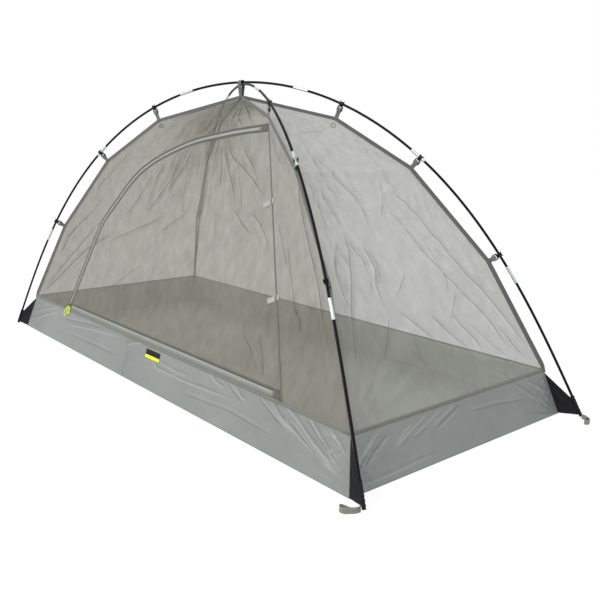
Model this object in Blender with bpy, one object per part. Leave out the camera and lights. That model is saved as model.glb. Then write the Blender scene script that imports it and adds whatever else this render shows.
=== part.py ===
# Single-person mosquito net tent: a fabric tub, a net canopy with a zipped door, and two crossed
# bent poles that carry the canopy on clips. Metres, +Z up, +X along the tent, the door on -Y.
# The origin is on the ground in the middle of the floor.

import math

import bmesh
import bpy
from mathutils import Matrix, Vector

# Floor and tub
FLOOR_LENGTH = 2.200
FLOOR_WIDTH = 0.930
TUB_HEIGHT = 0.140
TUB_LEAN_X = 0.040
TUB_LEAN_Y = 0.0385
SHEET_THICKNESS = 0.0008

# Canopy, hung from the poles: each ridge's seam corners from the tub up, as shares of a pole's
# half length from the crossing, with their drop below the pole and their shift to its side
POLE_CROSSING_HEIGHT = 1.061
APEX_DROP = 0.052
CANOPY_PEAK = POLE_CROSSING_HEIGHT - APEX_DROP
RIDGE_CORNER_SHARES = (0.6706, 0.4340, 0.2386)
RIDGE_CORNER_DROPS = (0.0380, 0.0460, 0.0548)
RIDGE_CORNER_SHIFTS = (0.0205, 0.00875, 0.0)
PEAK_PATCH_REACH = 0.026
RIDGE_TAPE_HALF_WIDTH = 0.006
RIDGE_TAPE_THICKNESS = 0.0016
TUB_BINDING_HEIGHT = 0.008
BINDING_WIDTH = 0.007
BINDING_THICKNESS = 0.0018

# Doorway: the hinge seam's foot on the tub, and the side zip as shares of the way from the
# hinge seam to the left ridge and of the height from the tub to the top ridge corner
HINGE_FOOT_X = 0.780
HINGE_TAPE_WIDTH = 0.010
HINGE_TAPE_GAP = 0.0020
SIDE_ZIP_FOOT_SHARE = 0.803
SIDE_ZIP_RUN_SHARES = (0.785, 0.430)
SIDE_ZIP_CURVE_SHARES = ((0.775, 0.585), (0.712, 0.765), (0.549, 0.884), (0.287, 0.936), (0.0, 0.962))
RUN_STEPS = 5
CURVE_STEPS = 19

# Zip
COIL_GAP = 0.0016
COIL_WIDTH = 0.0024
COIL_THICKNESS = 0.0026
TAPE_WIDTH = 0.006
TUB_TAPE_WIDTH = 0.010
TAPE_THICKNESS = 0.0010
ZIP_PATCH_LENGTH = 0.024
ZIP_PATCH_THICKNESS = 0.0016
SLIDER_LENGTH = 0.010
SLIDER_WIDTH = 0.009
SLIDER_PLATE = 0.0011
SLIDER_RUN_CLEARANCE = 0.00035
SLIDER_POST_WIDTH = 0.0010
SLIDER_POST_LENGTH = 0.004
BRIDGE_HOLE = 0.0040
BRIDGE_WALL = 0.0010
BRIDGE_WIDTH = 0.0024
SIDE_GARAGE = 0.008
BOTTOM_GARAGE = 0.022
BOTTOM_SLIDER_PARK = 0.014
TUB_TAPE_START = 0.0025

# Pull cords, each one closed loop
PULL_CORD_RADIUS = 0.0011
SIDE_PULL_LENGTH = 0.050
SIDE_PULL_WIDTH = 0.022
SIDE_PULL_SWING = math.radians(26.0)
BOTTOM_PULL_LENGTH = 0.034
BOTTOM_PULL_WIDTH = 0.011
PULL_NECK_WIDTH = 0.009
PULL_FLATNESS = 1.5
PULL_POINTS = 20
PULL_SIDES = 6

# Tie-back tabs, label and the small loops inside
TAB_HEIGHTS = (0.672, 0.406)
TAB_LENGTH = 0.030
TAB_WIDTH = 0.018
TAB_THICKNESS = 0.0016
TAB_SETBACK = 0.003
LABEL_WIDTH = 0.096
LABEL_HEIGHT = 0.030
LABEL_THICKNESS = 0.0006
LABEL_CENTRE_X = 0.058
LABEL_DROP = 0.024
HANGING_LOOP_LENGTH = 0.026
HANGING_LOOP_WIDTH = 0.010
HANGING_LOOP_EYE = 0.006

# Poles
POLE_DIAMETER = 0.0085
POLE_BORE = 0.0055
POLE_SIDES = 8
POLE_SECTIONS = 7
POLE_FOOT_X = 0.068
POLE_FOOT_Y = 0.018
POLE_FOOT_HEIGHT = 0.0075
POLE_TIP_LENGTH = 0.012
POLE_STEP = 0.130
FERRULE_LENGTH = 0.060
FERRULE_DIAMETER = 0.0102
SHOCK_CORD_DIAMETER = 0.0025

# Pole clips, numbered from the tub upwards like the ridge corners they hold
CLIP_NAMES = {3: "upper", 2: "middle", 1: "lower"}
CLIP_GRIP_LENGTH = 0.012
CLIP_WALL = 0.0020
CLIP_MOUTH_ANGLE = math.radians(50.0)
CLIP_LIP = 0.0032
CLIP_SEGMENTS = 8
CLIP_WINDOW_START = 0.0110
CLIP_WINDOW_LENGTH = 0.0107
CLIP_BAR = 0.0026
CLIP_SWING = math.radians(4.0)

# Webbing
WEBBING_THICKNESS = 0.0012
STRAP_WIDTH = 0.0150
STRAP_EYE_LENGTH = 0.009
STRAP_SLACK = 0.0002
APEX_LOOP_WIDTH = 0.020
APEX_WEBBING = 0.0016
PEG_LOOP_HEIGHT = 0.016
PEG_LOOP_LENGTH = 0.052
PEG_LOOP_EYE = 0.008
EYE_ANGLES = [math.radians(degrees) for degrees in (65, 90, 126, 162)]
EYE_TIP_SHARE = 0.10
EYE_LEG_SHARE = 0.20

# Corner gussets with the pockets that hold the pole feet
POCKET_LENGTH = 0.095
POCKET_WALL = 0.0010
GUSSET_THICKNESS = 0.0012
GUSSET_TOP_DROP = 0.006

# Fits
GAP = 0.0003
NET_GAP = 0.0008
SWING_GAP = 0.0010
SNUG = 0.0006
PATCH_GAP = 0.0018

FRONT_LEFT = (-1, -1)
FRONT_RIGHT = (1, -1)
BACK_RIGHT = (1, 1)
BACK_LEFT = (-1, 1)
CORNERS = {"front_left": FRONT_LEFT, "front_right": FRONT_RIGHT,
           "back_right": BACK_RIGHT, "back_left": BACK_LEFT}


class Bow:
    """A rod bent like a bow: it leans steadily more towards its feet, by a quarter sine wave."""

    STEPS = 200

    def __init__(self, foot, crossing_height):
        self.plane = Vector((foot.x, foot.y, 0)).normalized()
        self.side = Vector((-self.plane.y, self.plane.x, 0))
        self.top = crossing_height
        reach = math.hypot(foot.x, foot.y)
        steepness = (crossing_height - foot.z) / reach
        low, high = 0.2, math.pi / 2
        for _ in range(60):
            self.lean = (low + high) / 2
            forward, down = self.unit_reach(1.0)
            if down / forward < steepness:
                low = self.lean
            else:
                high = self.lean
        self.half_length = reach / self.unit_reach(1.0)[0]

    def unit_reach(self, share):
        """How far a rod of unit half length has gone forward and down at a share of it."""
        forward = down = 0.0
        for k in range(self.STEPS):
            middle = share * (k + 1 / 2) / self.STEPS
            angle = self.lean * math.sin(math.pi / 2 * middle)
            forward += math.cos(angle) * share / self.STEPS
            down += math.sin(angle) * share / self.STEPS
        return forward, down

    def frame(self, distance):
        """Centre, outward normal, sideways axis and tangent at a distance from the middle."""
        share = abs(distance) / self.half_length
        forward, down = self.unit_reach(share)
        sign = 1 if distance >= 0 else -1
        angle = sign * self.lean * math.sin(math.pi / 2 * share)
        centre = self.plane * (sign * forward * self.half_length)
        centre.z = self.top - down * self.half_length
        tangent = self.plane * math.cos(angle) - Vector((0, 0, math.sin(angle)))
        normal = self.plane * math.sin(angle) + Vector((0, 0, math.cos(angle)))
        return centre, normal, self.side, tangent

    def nearest(self, point):
        """The distance along the rod, from its middle, at which it passes nearest a point."""
        direction = 1 if point.dot(self.plane) > 0 else -1
        low, high = 0.0, self.half_length
        for _ in range(60):
            first = low + (high - low) / 3
            second = high - (high - low) / 3
            near = (self.frame(first * direction)[0] - point).length
            far = (self.frame(second * direction)[0] - point).length
            if near < far:
                high = second
            else:
                low = first
        return direction * (low + high) / 2


# Outlines that follow from the driving sizes
HALF_LENGTH = FLOOR_LENGTH / 2
HALF_WIDTH = FLOOR_WIDTH / 2
TUB_TOP_X = HALF_LENGTH - TUB_LEAN_X
TUB_TOP_Y = HALF_WIDTH - TUB_LEAN_Y
FOOT_X = HALF_LENGTH + POLE_FOOT_X
FOOT_Y = HALF_WIDTH + POLE_FOOT_Y
STACK = (POLE_DIAMETER + GAP) / 2
OVER_BOW = Bow(Vector((FOOT_X, FOOT_Y, POLE_FOOT_HEIGHT)), POLE_CROSSING_HEIGHT + STACK)
UNDER_BOW = Bow(Vector((FOOT_X, -FOOT_Y, POLE_FOOT_HEIGHT)), POLE_CROSSING_HEIGHT - STACK)
POLES = {"left_right_pole": (OVER_BOW, BACK_RIGHT, FRONT_LEFT),
         "front_back_pole": (UNDER_BOW, FRONT_RIGHT, BACK_LEFT)}

# The ridge of the back right quarter: its seam corners hang below a bow midway between the poles
MIDDLE_BOW = Bow(Vector((FOOT_X, FOOT_Y, POLE_FOOT_HEIGHT)), POLE_CROSSING_HEIGHT)
RIDGE = [Vector((TUB_TOP_X, TUB_TOP_Y, TUB_HEIGHT))]
for share, drop, shift in zip(RIDGE_CORNER_SHARES, RIDGE_CORNER_DROPS, RIDGE_CORNER_SHIFTS):
    over, outward, sideways, _ = MIDDLE_BOW.frame(MIDDLE_BOW.half_length * share)
    RIDGE.append(over - outward * drop - sideways * shift)
PEAK = Vector((0, 0, CANOPY_PEAK))
RIDGE.append(PEAK + (RIDGE[-1] - PEAK).normalized() * PEAK_PATCH_REACH)
TOP_CORNER = RIDGE[-2]
TUB_BINDING_BASE = TUB_HEIGHT + GAP
TUB_BINDING_TOP = TUB_BINDING_BASE + TUB_BINDING_HEIGHT
NET_BASE = TUB_BINDING_TOP + GAP

# Distances from a zip's centre line to the edges of the strips beside it
COIL_EDGE = COIL_GAP / 2
TAPE_START = COIL_EDGE + COIL_WIDTH
TAPE_EDGE = TAPE_START + TAPE_WIDTH
TUB_TAPE_EDGE = TAPE_START + TUB_TAPE_WIDTH
BINDING_START = TAPE_EDGE + GAP
BINDING_EDGE = BINDING_START + BINDING_WIDTH
NET_START = BINDING_EDGE + GAP
BOTTOM_ZIP_HEIGHT = NET_BASE + TUB_TAPE_EDGE


def material(name, colour, roughness, metallic=0.0):
    """A plain Principled material of one colour."""
    made = bpy.data.materials.new(name)
    made.use_nodes = True
    shader = made.node_tree.nodes["Principled BSDF"]
    shader.inputs["Base Color"].default_value = (*colour, 1.0)
    shader.inputs["Roughness"].default_value = roughness
    shader.inputs["Metallic"].default_value = metallic
    return made


def clear_scene():
    """Removes every object that the scene starts with."""
    for old in list(bpy.data.objects):
        bpy.data.objects.remove(old, do_unlink=True)


def add_object(name, mesh, finish):
    """Puts a mesh in the scene under its own name."""
    mesh.name = name
    mesh.materials.clear()
    mesh.materials.append(finish)
    placed = bpy.data.objects.new(name, mesh)
    bpy.context.scene.collection.objects.link(placed)
    return placed


def turn_outward(work):
    """Makes a closed bmesh's faces point outward."""
    bmesh.ops.recalc_face_normals(work, faces=work.faces)
    if work.calc_volume(signed=True) < 0:
        bmesh.ops.reverse_faces(work, faces=work.faces)


def mesh_from(build):
    """Runs a function on an empty bmesh and returns the closed mesh it made, faces outward."""
    work = bmesh.new()
    build(work)
    turn_outward(work)
    made = bpy.data.meshes.new("piece")
    work.to_mesh(made)
    work.free()
    return made


def sheet_object(name, rows, thickness, finish, closed=False):
    """Thin cloth: rows of points joined by quads, thickened evenly about the middle."""
    def build(work):
        placed = [[work.verts.new(point) for point in row] for row in rows]
        for low, high in zip(placed, placed[1:]):
            for i in range(len(low) if closed else len(low) - 1):
                j = (i + 1) % len(low)
                work.faces.new((low[i], low[j], high[j], high[i]))
    cloth = add_object(name, mesh_from(build), finish)
    solidify = cloth.modifiers.new("thickness", "SOLIDIFY")
    solidify.thickness = thickness
    solidify.offset = 0.0
    solidify.use_even_offset = True
    return cloth


def skin_rings(work, rings, closed=False):
    """Quads between neighbouring rings of points, with flat caps unless the rings close up."""
    placed = [[work.verts.new(point) for point in ring] for ring in rings]
    pairs = list(zip(placed, placed[1:]))
    if closed:
        pairs.append((placed[-1], placed[0]))
    for low, high in pairs:
        for i in range(len(low)):
            j = (i + 1) % len(low)
            work.faces.new((low[i], low[j], high[j], high[i]))
    if not closed:
        work.faces.new(placed[0])
        work.faces.new(list(reversed(placed[-1])))


def ring_about(frame, radius, sides):
    """Points round a frame's centre."""
    centre, across, side = frame
    return [centre + across * (math.cos(math.tau * k / sides) * radius)
            + side * (math.sin(math.tau * k / sides) * radius) for k in range(sides)]


def holed_prism(work, outer, inner, place, half_depth):
    """A plate with one hole: two outlines with as many points, swept to both sides of a plane."""
    rings = [[place(p, q, -half_depth) for p, q in outer], [place(p, q, half_depth) for p, q in outer],
             [place(p, q, half_depth) for p, q in inner], [place(p, q, -half_depth) for p, q in inner]]
    skin_rings(work, rings, closed=True)


def box_rings(work, place, low, high):
    """A box between two corners of a local frame."""
    rings = []
    for depth in (low[2], high[2]):
        rings.append([place(p, q, depth) for p, q in ((low[0], low[1]), (high[0], low[1]),
                                                       (high[0], high[1]), (low[0], high[1]))])
    skin_rings(work, rings)


def eye_outlines(eye_half, top, crotch, wall, tail, tail_half):
    """Webbing folded to an eye: outlines with the eye's middle at zero and the tail along +p."""
    inner = []
    outer = []
    for angle in EYE_ANGLES:
        along = math.cos(angle)
        reach = eye_half if along > 0 else top
        inner.append((reach * along, eye_half * math.sin(angle)))
        outer.append(((reach + wall) * along, (eye_half + wall) * math.sin(angle)))
    tip = (crotch, eye_half * EYE_TIP_SHARE)
    leg = [tip[i] + (inner[0][i] - tip[i]) * EYE_LEG_SHARE for i in range(2)]
    inner = [tip, tuple(leg)] + inner
    outer = [(tail, tail_half), (crotch + wall * 2, tail_half)] + outer
    inner += [(p, -q) for p, q in reversed(inner)]
    outer += [(p, -q) for p, q in reversed(outer)]
    return outer, inner


def union(base, others):
    """Joins solids that overlap into one closed body."""
    for solid in [base, *others]:
        solid.modifiers.new("flat faces", "TRIANGULATE")
    for k, other in enumerate(others):
        merge = base.modifiers.new(f"union {k}", "BOOLEAN")
        merge.operation = "UNION"
        merge.solver = "EXACT"
        merge.object = other
    bpy.context.view_layer.update()
    seen = bpy.context.evaluated_depsgraph_get()
    joined = bpy.data.meshes.new_from_object(base.evaluated_get(seen))
    work = bmesh.new()
    work.from_mesh(joined)
    turn_outward(work)
    work.to_mesh(joined)
    work.free()
    for spent in [base, *others]:
        bpy.data.objects.remove(spent, do_unlink=True)
    return joined


def mirrored(point, corner):
    """A point of the back right quarter moved to another quarter."""
    return Vector((point.x * corner[0], point.y * corner[1], point.z))


def ridge_at(height, corner):
    """The point of a ridge at a height."""
    for low, high in zip(RIDGE, RIDGE[1:]):
        if height <= high.z or high is RIDGE[-1]:
            share = (height - low.z) / (high.z - low.z)
            return mirrored(low.lerp(high, share), corner)


def tape_reach(level, along_x):
    """How far along a level line the ridge tape's edge lies from the ridge."""
    total = 0.0
    count = 0
    for low, high in ((level - 1, level), (level, level + 1)):
        if low < 0 or high >= len(RIDGE):
            continue
        run = RIDGE[high] - RIDGE[low]
        level_part = abs(run.x) if along_x else abs(run.y)
        slope_part = math.hypot(run.y if along_x else run.x, run.z)
        total += math.hypot(level_part, slope_part) / slope_part
        count += 1
    return RIDGE_TAPE_HALF_WIDTH * total / count


def ridge_edge(level, corner, along_x, extra=0.0):
    """A point beside the ridge, on the long panel (along_x) or on the end panel."""
    base = RIDGE[level]
    if level == 0:
        base = ridge_at(NET_BASE, BACK_RIGHT)
    step = tape_reach(level, along_x) + extra
    moved = base - (Vector((step, 0, 0)) if along_x else Vector((0, step, 0)))
    return mirrored(moved, corner)


# Hinge seam of the door: a straight line from the top ridge corner to the tub
HINGE_TOP = mirrored(TOP_CORNER, FRONT_RIGHT)
HINGE_FOOT = Vector((HINGE_FOOT_X, -TUB_TOP_Y, TUB_HEIGHT))
HINGE_DIRECTION = (HINGE_FOOT - HINGE_TOP).normalized()
HINGE_SLOPE_STEP = 0.05


def hinge_at(height):
    """The point of the hinge seam at a height."""
    share = (HINGE_TOP.z - height) / (HINGE_TOP.z - HINGE_FOOT.z)
    return HINGE_TOP.lerp(HINGE_FOOT, share)


def square_to_hinge(direction):
    """The part of a direction that is square to the hinge seam, as a unit vector."""
    return (direction - HINGE_DIRECTION * direction.dot(HINGE_DIRECTION)).normalized()


def front_point(share, height):
    """A point of the front panel left of the hinge seam."""
    return hinge_at(height).lerp(ridge_at(height, FRONT_LEFT), share)


def front_normal(share, height):
    """The outward normal of the front panel, evened out over its folds."""
    low = max(height - HINGE_SLOPE_STEP, TUB_HEIGHT)
    high = min(height + HINGE_SLOPE_STEP, TOP_CORNER.z)
    rise = front_point(share, high) - front_point(share, low)
    level = ridge_at(height, FRONT_LEFT) - hinge_at(height)
    return rise.cross(level).normalized()


def curve_through(points, count):
    """Evenly spaced points on a smooth curve; the first point only sets the starting direction."""
    dense = []
    padded = list(points) + [points[-1] * 2 - points[-2]]
    for k in range(1, len(points) - 1):
        a, b, c, d = padded[k - 1:k + 3]
        for step in range(count):
            t = step / count
            dense.append(((b * 2) + (c - a) * t + (a * 2 - b * 5 + c * 4 - d) * t ** 2
                          + (b * 3 - a - c * 3 + d) * t ** 3) / 2)
    dense.append(points[-1])
    lengths = [0.0]
    for low, high in zip(dense, dense[1:]):
        lengths.append(lengths[-1] + (high - low).length)
    spaced = []
    at = 0
    for k in range(count + 1):
        wanted = lengths[-1] * k / count
        while at < len(dense) - 2 and lengths[at + 1] < wanted:
            at += 1
        share = (wanted - lengths[at]) / (lengths[at + 1] - lengths[at])
        spaced.append(dense[at].lerp(dense[at + 1], share))
    return spaced


def zip_height(share):
    """A height given as a share of the way from the tub to the top ridge corner."""
    return TUB_HEIGHT + (TOP_CORNER.z - TUB_HEIGHT) * share


# The corner where both zips meet, the straight run up from it, and the curve over the door
ZIP_CORNER = front_point(SIDE_ZIP_FOOT_SHARE, BOTTOM_ZIP_HEIGHT)
RUN_END = front_point(SIDE_ZIP_RUN_SHARES[0], zip_height(SIDE_ZIP_RUN_SHARES[1]))
RUN_DIRECTION = (RUN_END - ZIP_CORNER).normalized()
RUN_NORMAL = front_normal(SIDE_ZIP_FOOT_SHARE, (ZIP_CORNER.z + RUN_END.z) / 2)
RUN_NORMAL = (RUN_NORMAL - RUN_DIRECTION * RUN_NORMAL.dot(RUN_DIRECTION)).normalized()
RUN_ACROSS = RUN_NORMAL.cross(RUN_DIRECTION)
BOTTOM_END = hinge_at(BOTTOM_ZIP_HEIGHT)
BOTTOM_DIRECTION = (BOTTOM_END - ZIP_CORNER).normalized()
BOTTOM_NORMAL = front_normal(SIDE_ZIP_FOOT_SHARE, TUB_HEIGHT) + front_normal(0, TUB_HEIGHT)
BOTTOM_NORMAL = (BOTTOM_NORMAL - BOTTOM_DIRECTION * BOTTOM_NORMAL.dot(BOTTOM_DIRECTION)).normalized()
BOTTOM_UP = BOTTOM_NORMAL.cross(BOTTOM_DIRECTION)


def side_zip_stations():
    """Frames up the side zip: a point on its centre line, the way to the canopy, the normal."""
    stations = []
    for k in range(RUN_STEPS + 1):
        stations.append((ZIP_CORNER.lerp(RUN_END, k / RUN_STEPS), RUN_ACROSS, RUN_NORMAL, RUN_DIRECTION))
    way = [ZIP_CORNER, RUN_END]
    shares = [SIDE_ZIP_RUN_SHARES]
    for share, height in SIDE_ZIP_CURVE_SHARES:
        way.append(front_point(share, zip_height(height)))
        shares.append((share, height))
    centres = curve_through(way, CURVE_STEPS)
    for k in range(1, CURVE_STEPS + 1):
        position = (len(shares) - 1) * k / CURVE_STEPS
        low = min(int(position), len(shares) - 2)
        part = position - low
        share = shares[low][0] * (1 - part) + shares[low + 1][0] * part
        ahead = centres[min(k + 1, CURVE_STEPS)]
        tangent = (ahead - centres[k - 1]).normalized()
        normal = front_normal(share, centres[k].z)
        normal = (normal - tangent * normal.dot(tangent)).normalized()
        stations.append((centres[k], normal.cross(tangent), normal, tangent))
    return stations


def hinge_distance(point):
    """How far a point is from the hinge seam."""
    way = point - HINGE_TOP
    return (way - HINGE_DIRECTION * way.dot(HINGE_DIRECTION)).length


def run_to_hinge(point, direction, clearance):
    """Follows a direction from a point until it is this clear of the hinge seam."""
    closing = (direction - HINGE_DIRECTION * direction.dot(HINGE_DIRECTION)).length
    return point + direction * ((hinge_distance(point) - clearance) / closing)


SIDE_STATIONS = side_zip_stations()
# The curved part stops short of the hinge seam, where the end patch takes over
while hinge_distance(SIDE_STATIONS[-1][0]) < ZIP_PATCH_LENGTH + TAPE_EDGE:
    SIDE_STATIONS.pop()


def side_point(station, offset):
    """A point beside the side zip, to the canopy side when the offset is positive."""
    centre, across = station[0], station[1]
    return centre + across * offset


def run_cut(offset, height):
    """Where a line beside the zip's straight run comes down to a height."""
    start = ZIP_CORNER + RUN_ACROSS * offset
    return start + RUN_DIRECTION * ((height - start.z) / RUN_DIRECTION.z)


def door_corner(offset):
    """The door's lower corner for a strip edge this far inside both zips' centre lines."""
    start = -RUN_ACROSS * offset
    along = (offset - start.dot(BOTTOM_UP)) / RUN_DIRECTION.dot(BOTTOM_UP)
    return ZIP_CORNER + start + RUN_DIRECTION * along


def door_side_edge(offset):
    """The door's curved edge from its lower corner to the top end at the hinge seam."""
    corner = door_corner(offset)
    edge = [corner]
    for station in SIDE_STATIONS[1:]:
        edge.append(side_point(station, -offset))
    edge.append(run_to_hinge(edge[-1], SIDE_STATIONS[-1][3], SWING_GAP))
    return edge


def canopy_side_edge(offset):
    """The canopy's edge beside the side zip, from the tub's binding to the hinge seam."""
    edge = [run_cut(offset, NET_BASE + SNUG)]
    for station in SIDE_STATIONS[1:]:
        edge.append(side_point(station, offset))
    edge.append(run_to_hinge(edge[-1], SIDE_STATIONS[-1][3], SWING_GAP))
    return edge


def make_tub(finishes):
    """The floor sheet, the four leaning walls and the binding round their top edge."""
    fabric = finishes["tub_fabric"]
    floor = [[Vector((-HALF_LENGTH, -HALF_WIDTH, SHEET_THICKNESS / 2)),
              Vector((HALF_LENGTH, -HALF_WIDTH, SHEET_THICKNESS / 2))],
             [Vector((-HALF_LENGTH, HALF_WIDTH, SHEET_THICKNESS / 2)),
              Vector((HALF_LENGTH, HALF_WIDTH, SHEET_THICKNESS / 2))]]
    sheet_object("floor_sheet", floor, SHEET_THICKNESS, fabric)
    wall_base = SHEET_THICKNESS + GAP * 2
    foot_x = HALF_LENGTH - SHEET_THICKNESS
    foot_y = HALF_WIDTH - SHEET_THICKNESS
    end_gap = SHEET_THICKNESS + GAP * 2

    def long_wall(side, start_x, end_x, start_top, end_top):
        return [[Vector((start_x, side * foot_y, wall_base)), Vector((end_x, side * foot_y, wall_base))],
                [Vector((start_top, side * TUB_TOP_Y, TUB_HEIGHT)),
                 Vector((end_top, side * TUB_TOP_Y, TUB_HEIGHT))]]

    left = -foot_x + end_gap
    left_top = -TUB_TOP_X + end_gap
    sheet_object("tub_wall_front", long_wall(-1, left, -left, left_top, -left_top), SHEET_THICKNESS, fabric)
    sheet_object("tub_wall_back", long_wall(1, left, -left, left_top, -left_top), SHEET_THICKNESS, fabric)
    for name, side in (("tub_wall_left", -1), ("tub_wall_right", 1)):
        near = -foot_y + end_gap
        near_top = -TUB_TOP_Y + end_gap
        wall = [[Vector((side * foot_x, near, wall_base)), Vector((side * foot_x, -near, wall_base))],
                [Vector((side * TUB_TOP_X, near_top, TUB_HEIGHT)),
                 Vector((side * TUB_TOP_X, -near_top, TUB_HEIGHT))]]
        sheet_object(name, wall, SHEET_THICKNESS, fabric)
    band = []
    for height in (TUB_BINDING_BASE, TUB_BINDING_TOP):
        band.append([ridge_at(height, corner) for corner in CORNERS.values()])
    sheet_object("tub_top_binding", band, BINDING_THICKNESS, finishes["seam_tape"], closed=True)


def make_nets(finishes):
    """The net panels between the ridges, and the two panels beside the door."""
    net = finishes["net"]
    levels = range(len(RIDGE))
    back = [[ridge_edge(i, corner, True, NET_GAP) for corner in (BACK_LEFT, BACK_RIGHT)] for i in levels]
    sheet_object("back_net", back, SHEET_THICKNESS, net)
    ends = (("end_net_left", (FRONT_LEFT, BACK_LEFT)), ("end_net_right", (FRONT_RIGHT, BACK_RIGHT)))
    for name, corners in ends:
        rows = [[ridge_edge(i, corner, False, NET_GAP) for corner in corners] for i in levels]
        sheet_object(name, rows, SHEET_THICKNESS, net)
    inner = canopy_side_edge(NET_START)
    outer_corners = [ridge_edge(i, FRONT_LEFT, True, NET_GAP) for i in levels]
    outer_corners += [ridge_edge(4, FRONT_RIGHT, True, NET_GAP), ridge_edge(3, FRONT_RIGHT, True, NET_GAP)]
    outer = spread_along(outer_corners, len(inner))
    sheet_object("front_net_left", list(zip(outer, inner)), SHEET_THICKNESS, net)
    hinge_side, ridge_side = right_panel_edges()
    sheet_object("front_net_right", list(zip(hinge_side, ridge_side)), SHEET_THICKNESS, net)


def spread_along(corners, count):
    """Points along a line of corners, each corner kept, with the steps shared out by length."""
    runs = [(b - a).length for a, b in zip(corners, corners[1:])]
    total = sum(runs)
    steps = [max(1, round((count - 1) * run / total)) for run in runs]
    while sum(steps) != count - 1:
        change = 1 if sum(steps) < count - 1 else -1
        steps[steps.index(max(steps))] += change
    spread = [corners[0]]
    for a, b, parts in zip(corners, corners[1:], steps):
        for k in range(1, parts + 1):
            spread.append(a.lerp(b, k / parts))
    return spread


def right_of_hinge(height):
    """The way to the right in the front panel, square to the hinge seam."""
    return square_to_hinge(ridge_at(height, FRONT_RIGHT) - hinge_at(height))


def tape_edge_right(offset, clearance):
    """The height at which a line this far right of the hinge seam meets the ridge tape's edge."""
    low = BOTTOM_ZIP_HEIGHT
    high = TOP_CORNER.z
    for _ in range(40):
        middle = (low + high) / 2
        point = hinge_at(middle) + right_of_hinge(middle) * offset
        ridge_run = (RIDGE[2] - RIDGE[3]).normalized()
        ridge_run = mirrored(ridge_run, FRONT_RIGHT)
        way = point - HINGE_TOP
        apart = (way - ridge_run * way.dot(ridge_run)).length
        if apart > RIDGE_TAPE_HALF_WIDTH + clearance:
            low = middle
        else:
            high = middle
    return low


def hinge_tape_rows():
    """The hinge seam's tape, its top cut along the ridge tape."""
    offsets = (HINGE_TAPE_GAP, HINGE_TAPE_GAP + HINGE_TAPE_WIDTH)
    clearance = RIDGE_TAPE_THICKNESS
    tops = [tape_edge_right(offset, clearance) for offset in offsets]
    rows = []
    for share in (0, 1 / 3, 2 / 3, 1):
        row = []
        for offset, top in zip(offsets, tops):
            height = NET_BASE + (top - NET_BASE) * share
            row.append(hinge_at(height) + right_of_hinge(height) * offset)
        rows.append(row)
    return rows


def right_panel_edges():
    """The edges of the net panel between the hinge seam's tape and the right ridge."""
    offset = HINGE_TAPE_GAP + HINGE_TAPE_WIDTH + GAP
    top = tape_edge_right(offset, RIDGE_TAPE_THICKNESS)
    heights = [NET_BASE, RIDGE[1].z, RIDGE[2].z, top]
    hinge_side = [hinge_at(h) + right_of_hinge(h) * offset for h in heights]
    ridge_side = [ridge_edge(i, FRONT_RIGHT, True, NET_GAP) for i in range(3)]
    ridge_run = ridge_edge(3, FRONT_RIGHT, True, NET_GAP) - ridge_side[-1]
    share = (top + SHEET_THICKNESS - RIDGE[2].z) / (RIDGE[3].z - RIDGE[2].z)
    last = ridge_side[-1] + ridge_run * share
    apart = last - hinge_side[-1]
    ridge_side.append(hinge_side[-1] + apart.normalized() * max(apart.length, SWING_GAP))
    return hinge_side, ridge_side


def make_tapes(finishes):
    """The ridge tapes with the clips' straps sewn on, the peak patch and the hinge seam's tape."""
    tape = finishes["seam_tape"]
    for name, corner in CORNERS.items():
        rows = []
        for i in range(len(RIDGE)):
            middle = mirrored(RIDGE[i] if i else ridge_at(NET_BASE, BACK_RIGHT), corner)
            rows.append([ridge_edge(i, corner, True), middle, ridge_edge(i, corner, False)])
        sewn = [sheet_object("bare tape", rows, RIDGE_TAPE_THICKNESS, tape)]
        for index in CLIP_NAMES:
            strap = mesh_from(lambda work, index=index: strap_rings(work, corner, index))
            sewn.append(add_object("strap", strap, tape))
        add_object(f"ridge_tape_{name}", union(sewn[0], sewn[1:]), tape)
    reach = PEAK_PATCH_REACH - PATCH_GAP

    def build_patch(work):
        foot = PEAK + (RIDGE[3] - PEAK).normalized() * reach
        half = RIDGE_TAPE_THICKNESS / 2
        rings = []
        for lift in (-half, half):
            rings.append([mirrored(foot, corner) + Vector((0, 0, lift)) for corner in CORNERS.values()])
        low, high = [[work.verts.new(point) for point in ring] for ring in rings]
        under = work.verts.new(PEAK - Vector((0, 0, half)))
        over = work.verts.new(PEAK + Vector((0, 0, half)))
        for i in range(4):
            j = (i + 1) % 4
            work.faces.new((low[i], low[j], high[j], high[i]))
            work.faces.new((high[i], high[j], over))
            work.faces.new((low[j], low[i], under))
    add_object("peak_patch", mesh_from(build_patch), tape)
    sheet_object("hinge_seam_tape", hinge_tape_rows(), RIDGE_TAPE_THICKNESS, tape)


def zip_profile(edge, thickness):
    """Section of half a zip: the coil's bead, then the tape out to its edge."""
    bead = COIL_THICKNESS / 2
    half = thickness / 2
    return ((COIL_EDGE, -bead), (COIL_EDGE, bead), (TAPE_START, bead), (TAPE_START + GAP, half),
            (edge, half), (edge, -half), (TAPE_START + GAP, -half), (TAPE_START, -bead))


def zip_half(name, stations, side, edge, finish, start_plane=None):
    """Sweeps half a zip along its stations; its first end can be cut level with the tub's binding."""
    def build(work):
        rings = []
        for k, (centre, across, normal, tangent) in enumerate(stations):
            ring = []
            for offset, lift in zip_profile(edge, TAPE_THICKNESS):
                point = centre + across * (side * offset) + normal * lift
                if k == 0 and start_plane is not None:
                    point += tangent * ((start_plane - point.z) / tangent.z)
                ring.append(point)
            rings.append(ring)
        skin_rings(work, rings)
    add_object(name, mesh_from(build), finish)


def along_run(distance):
    """A frame on the side zip's straight run."""
    return (ZIP_CORNER + RUN_DIRECTION * distance, RUN_ACROSS, RUN_NORMAL, RUN_DIRECTION)


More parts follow.
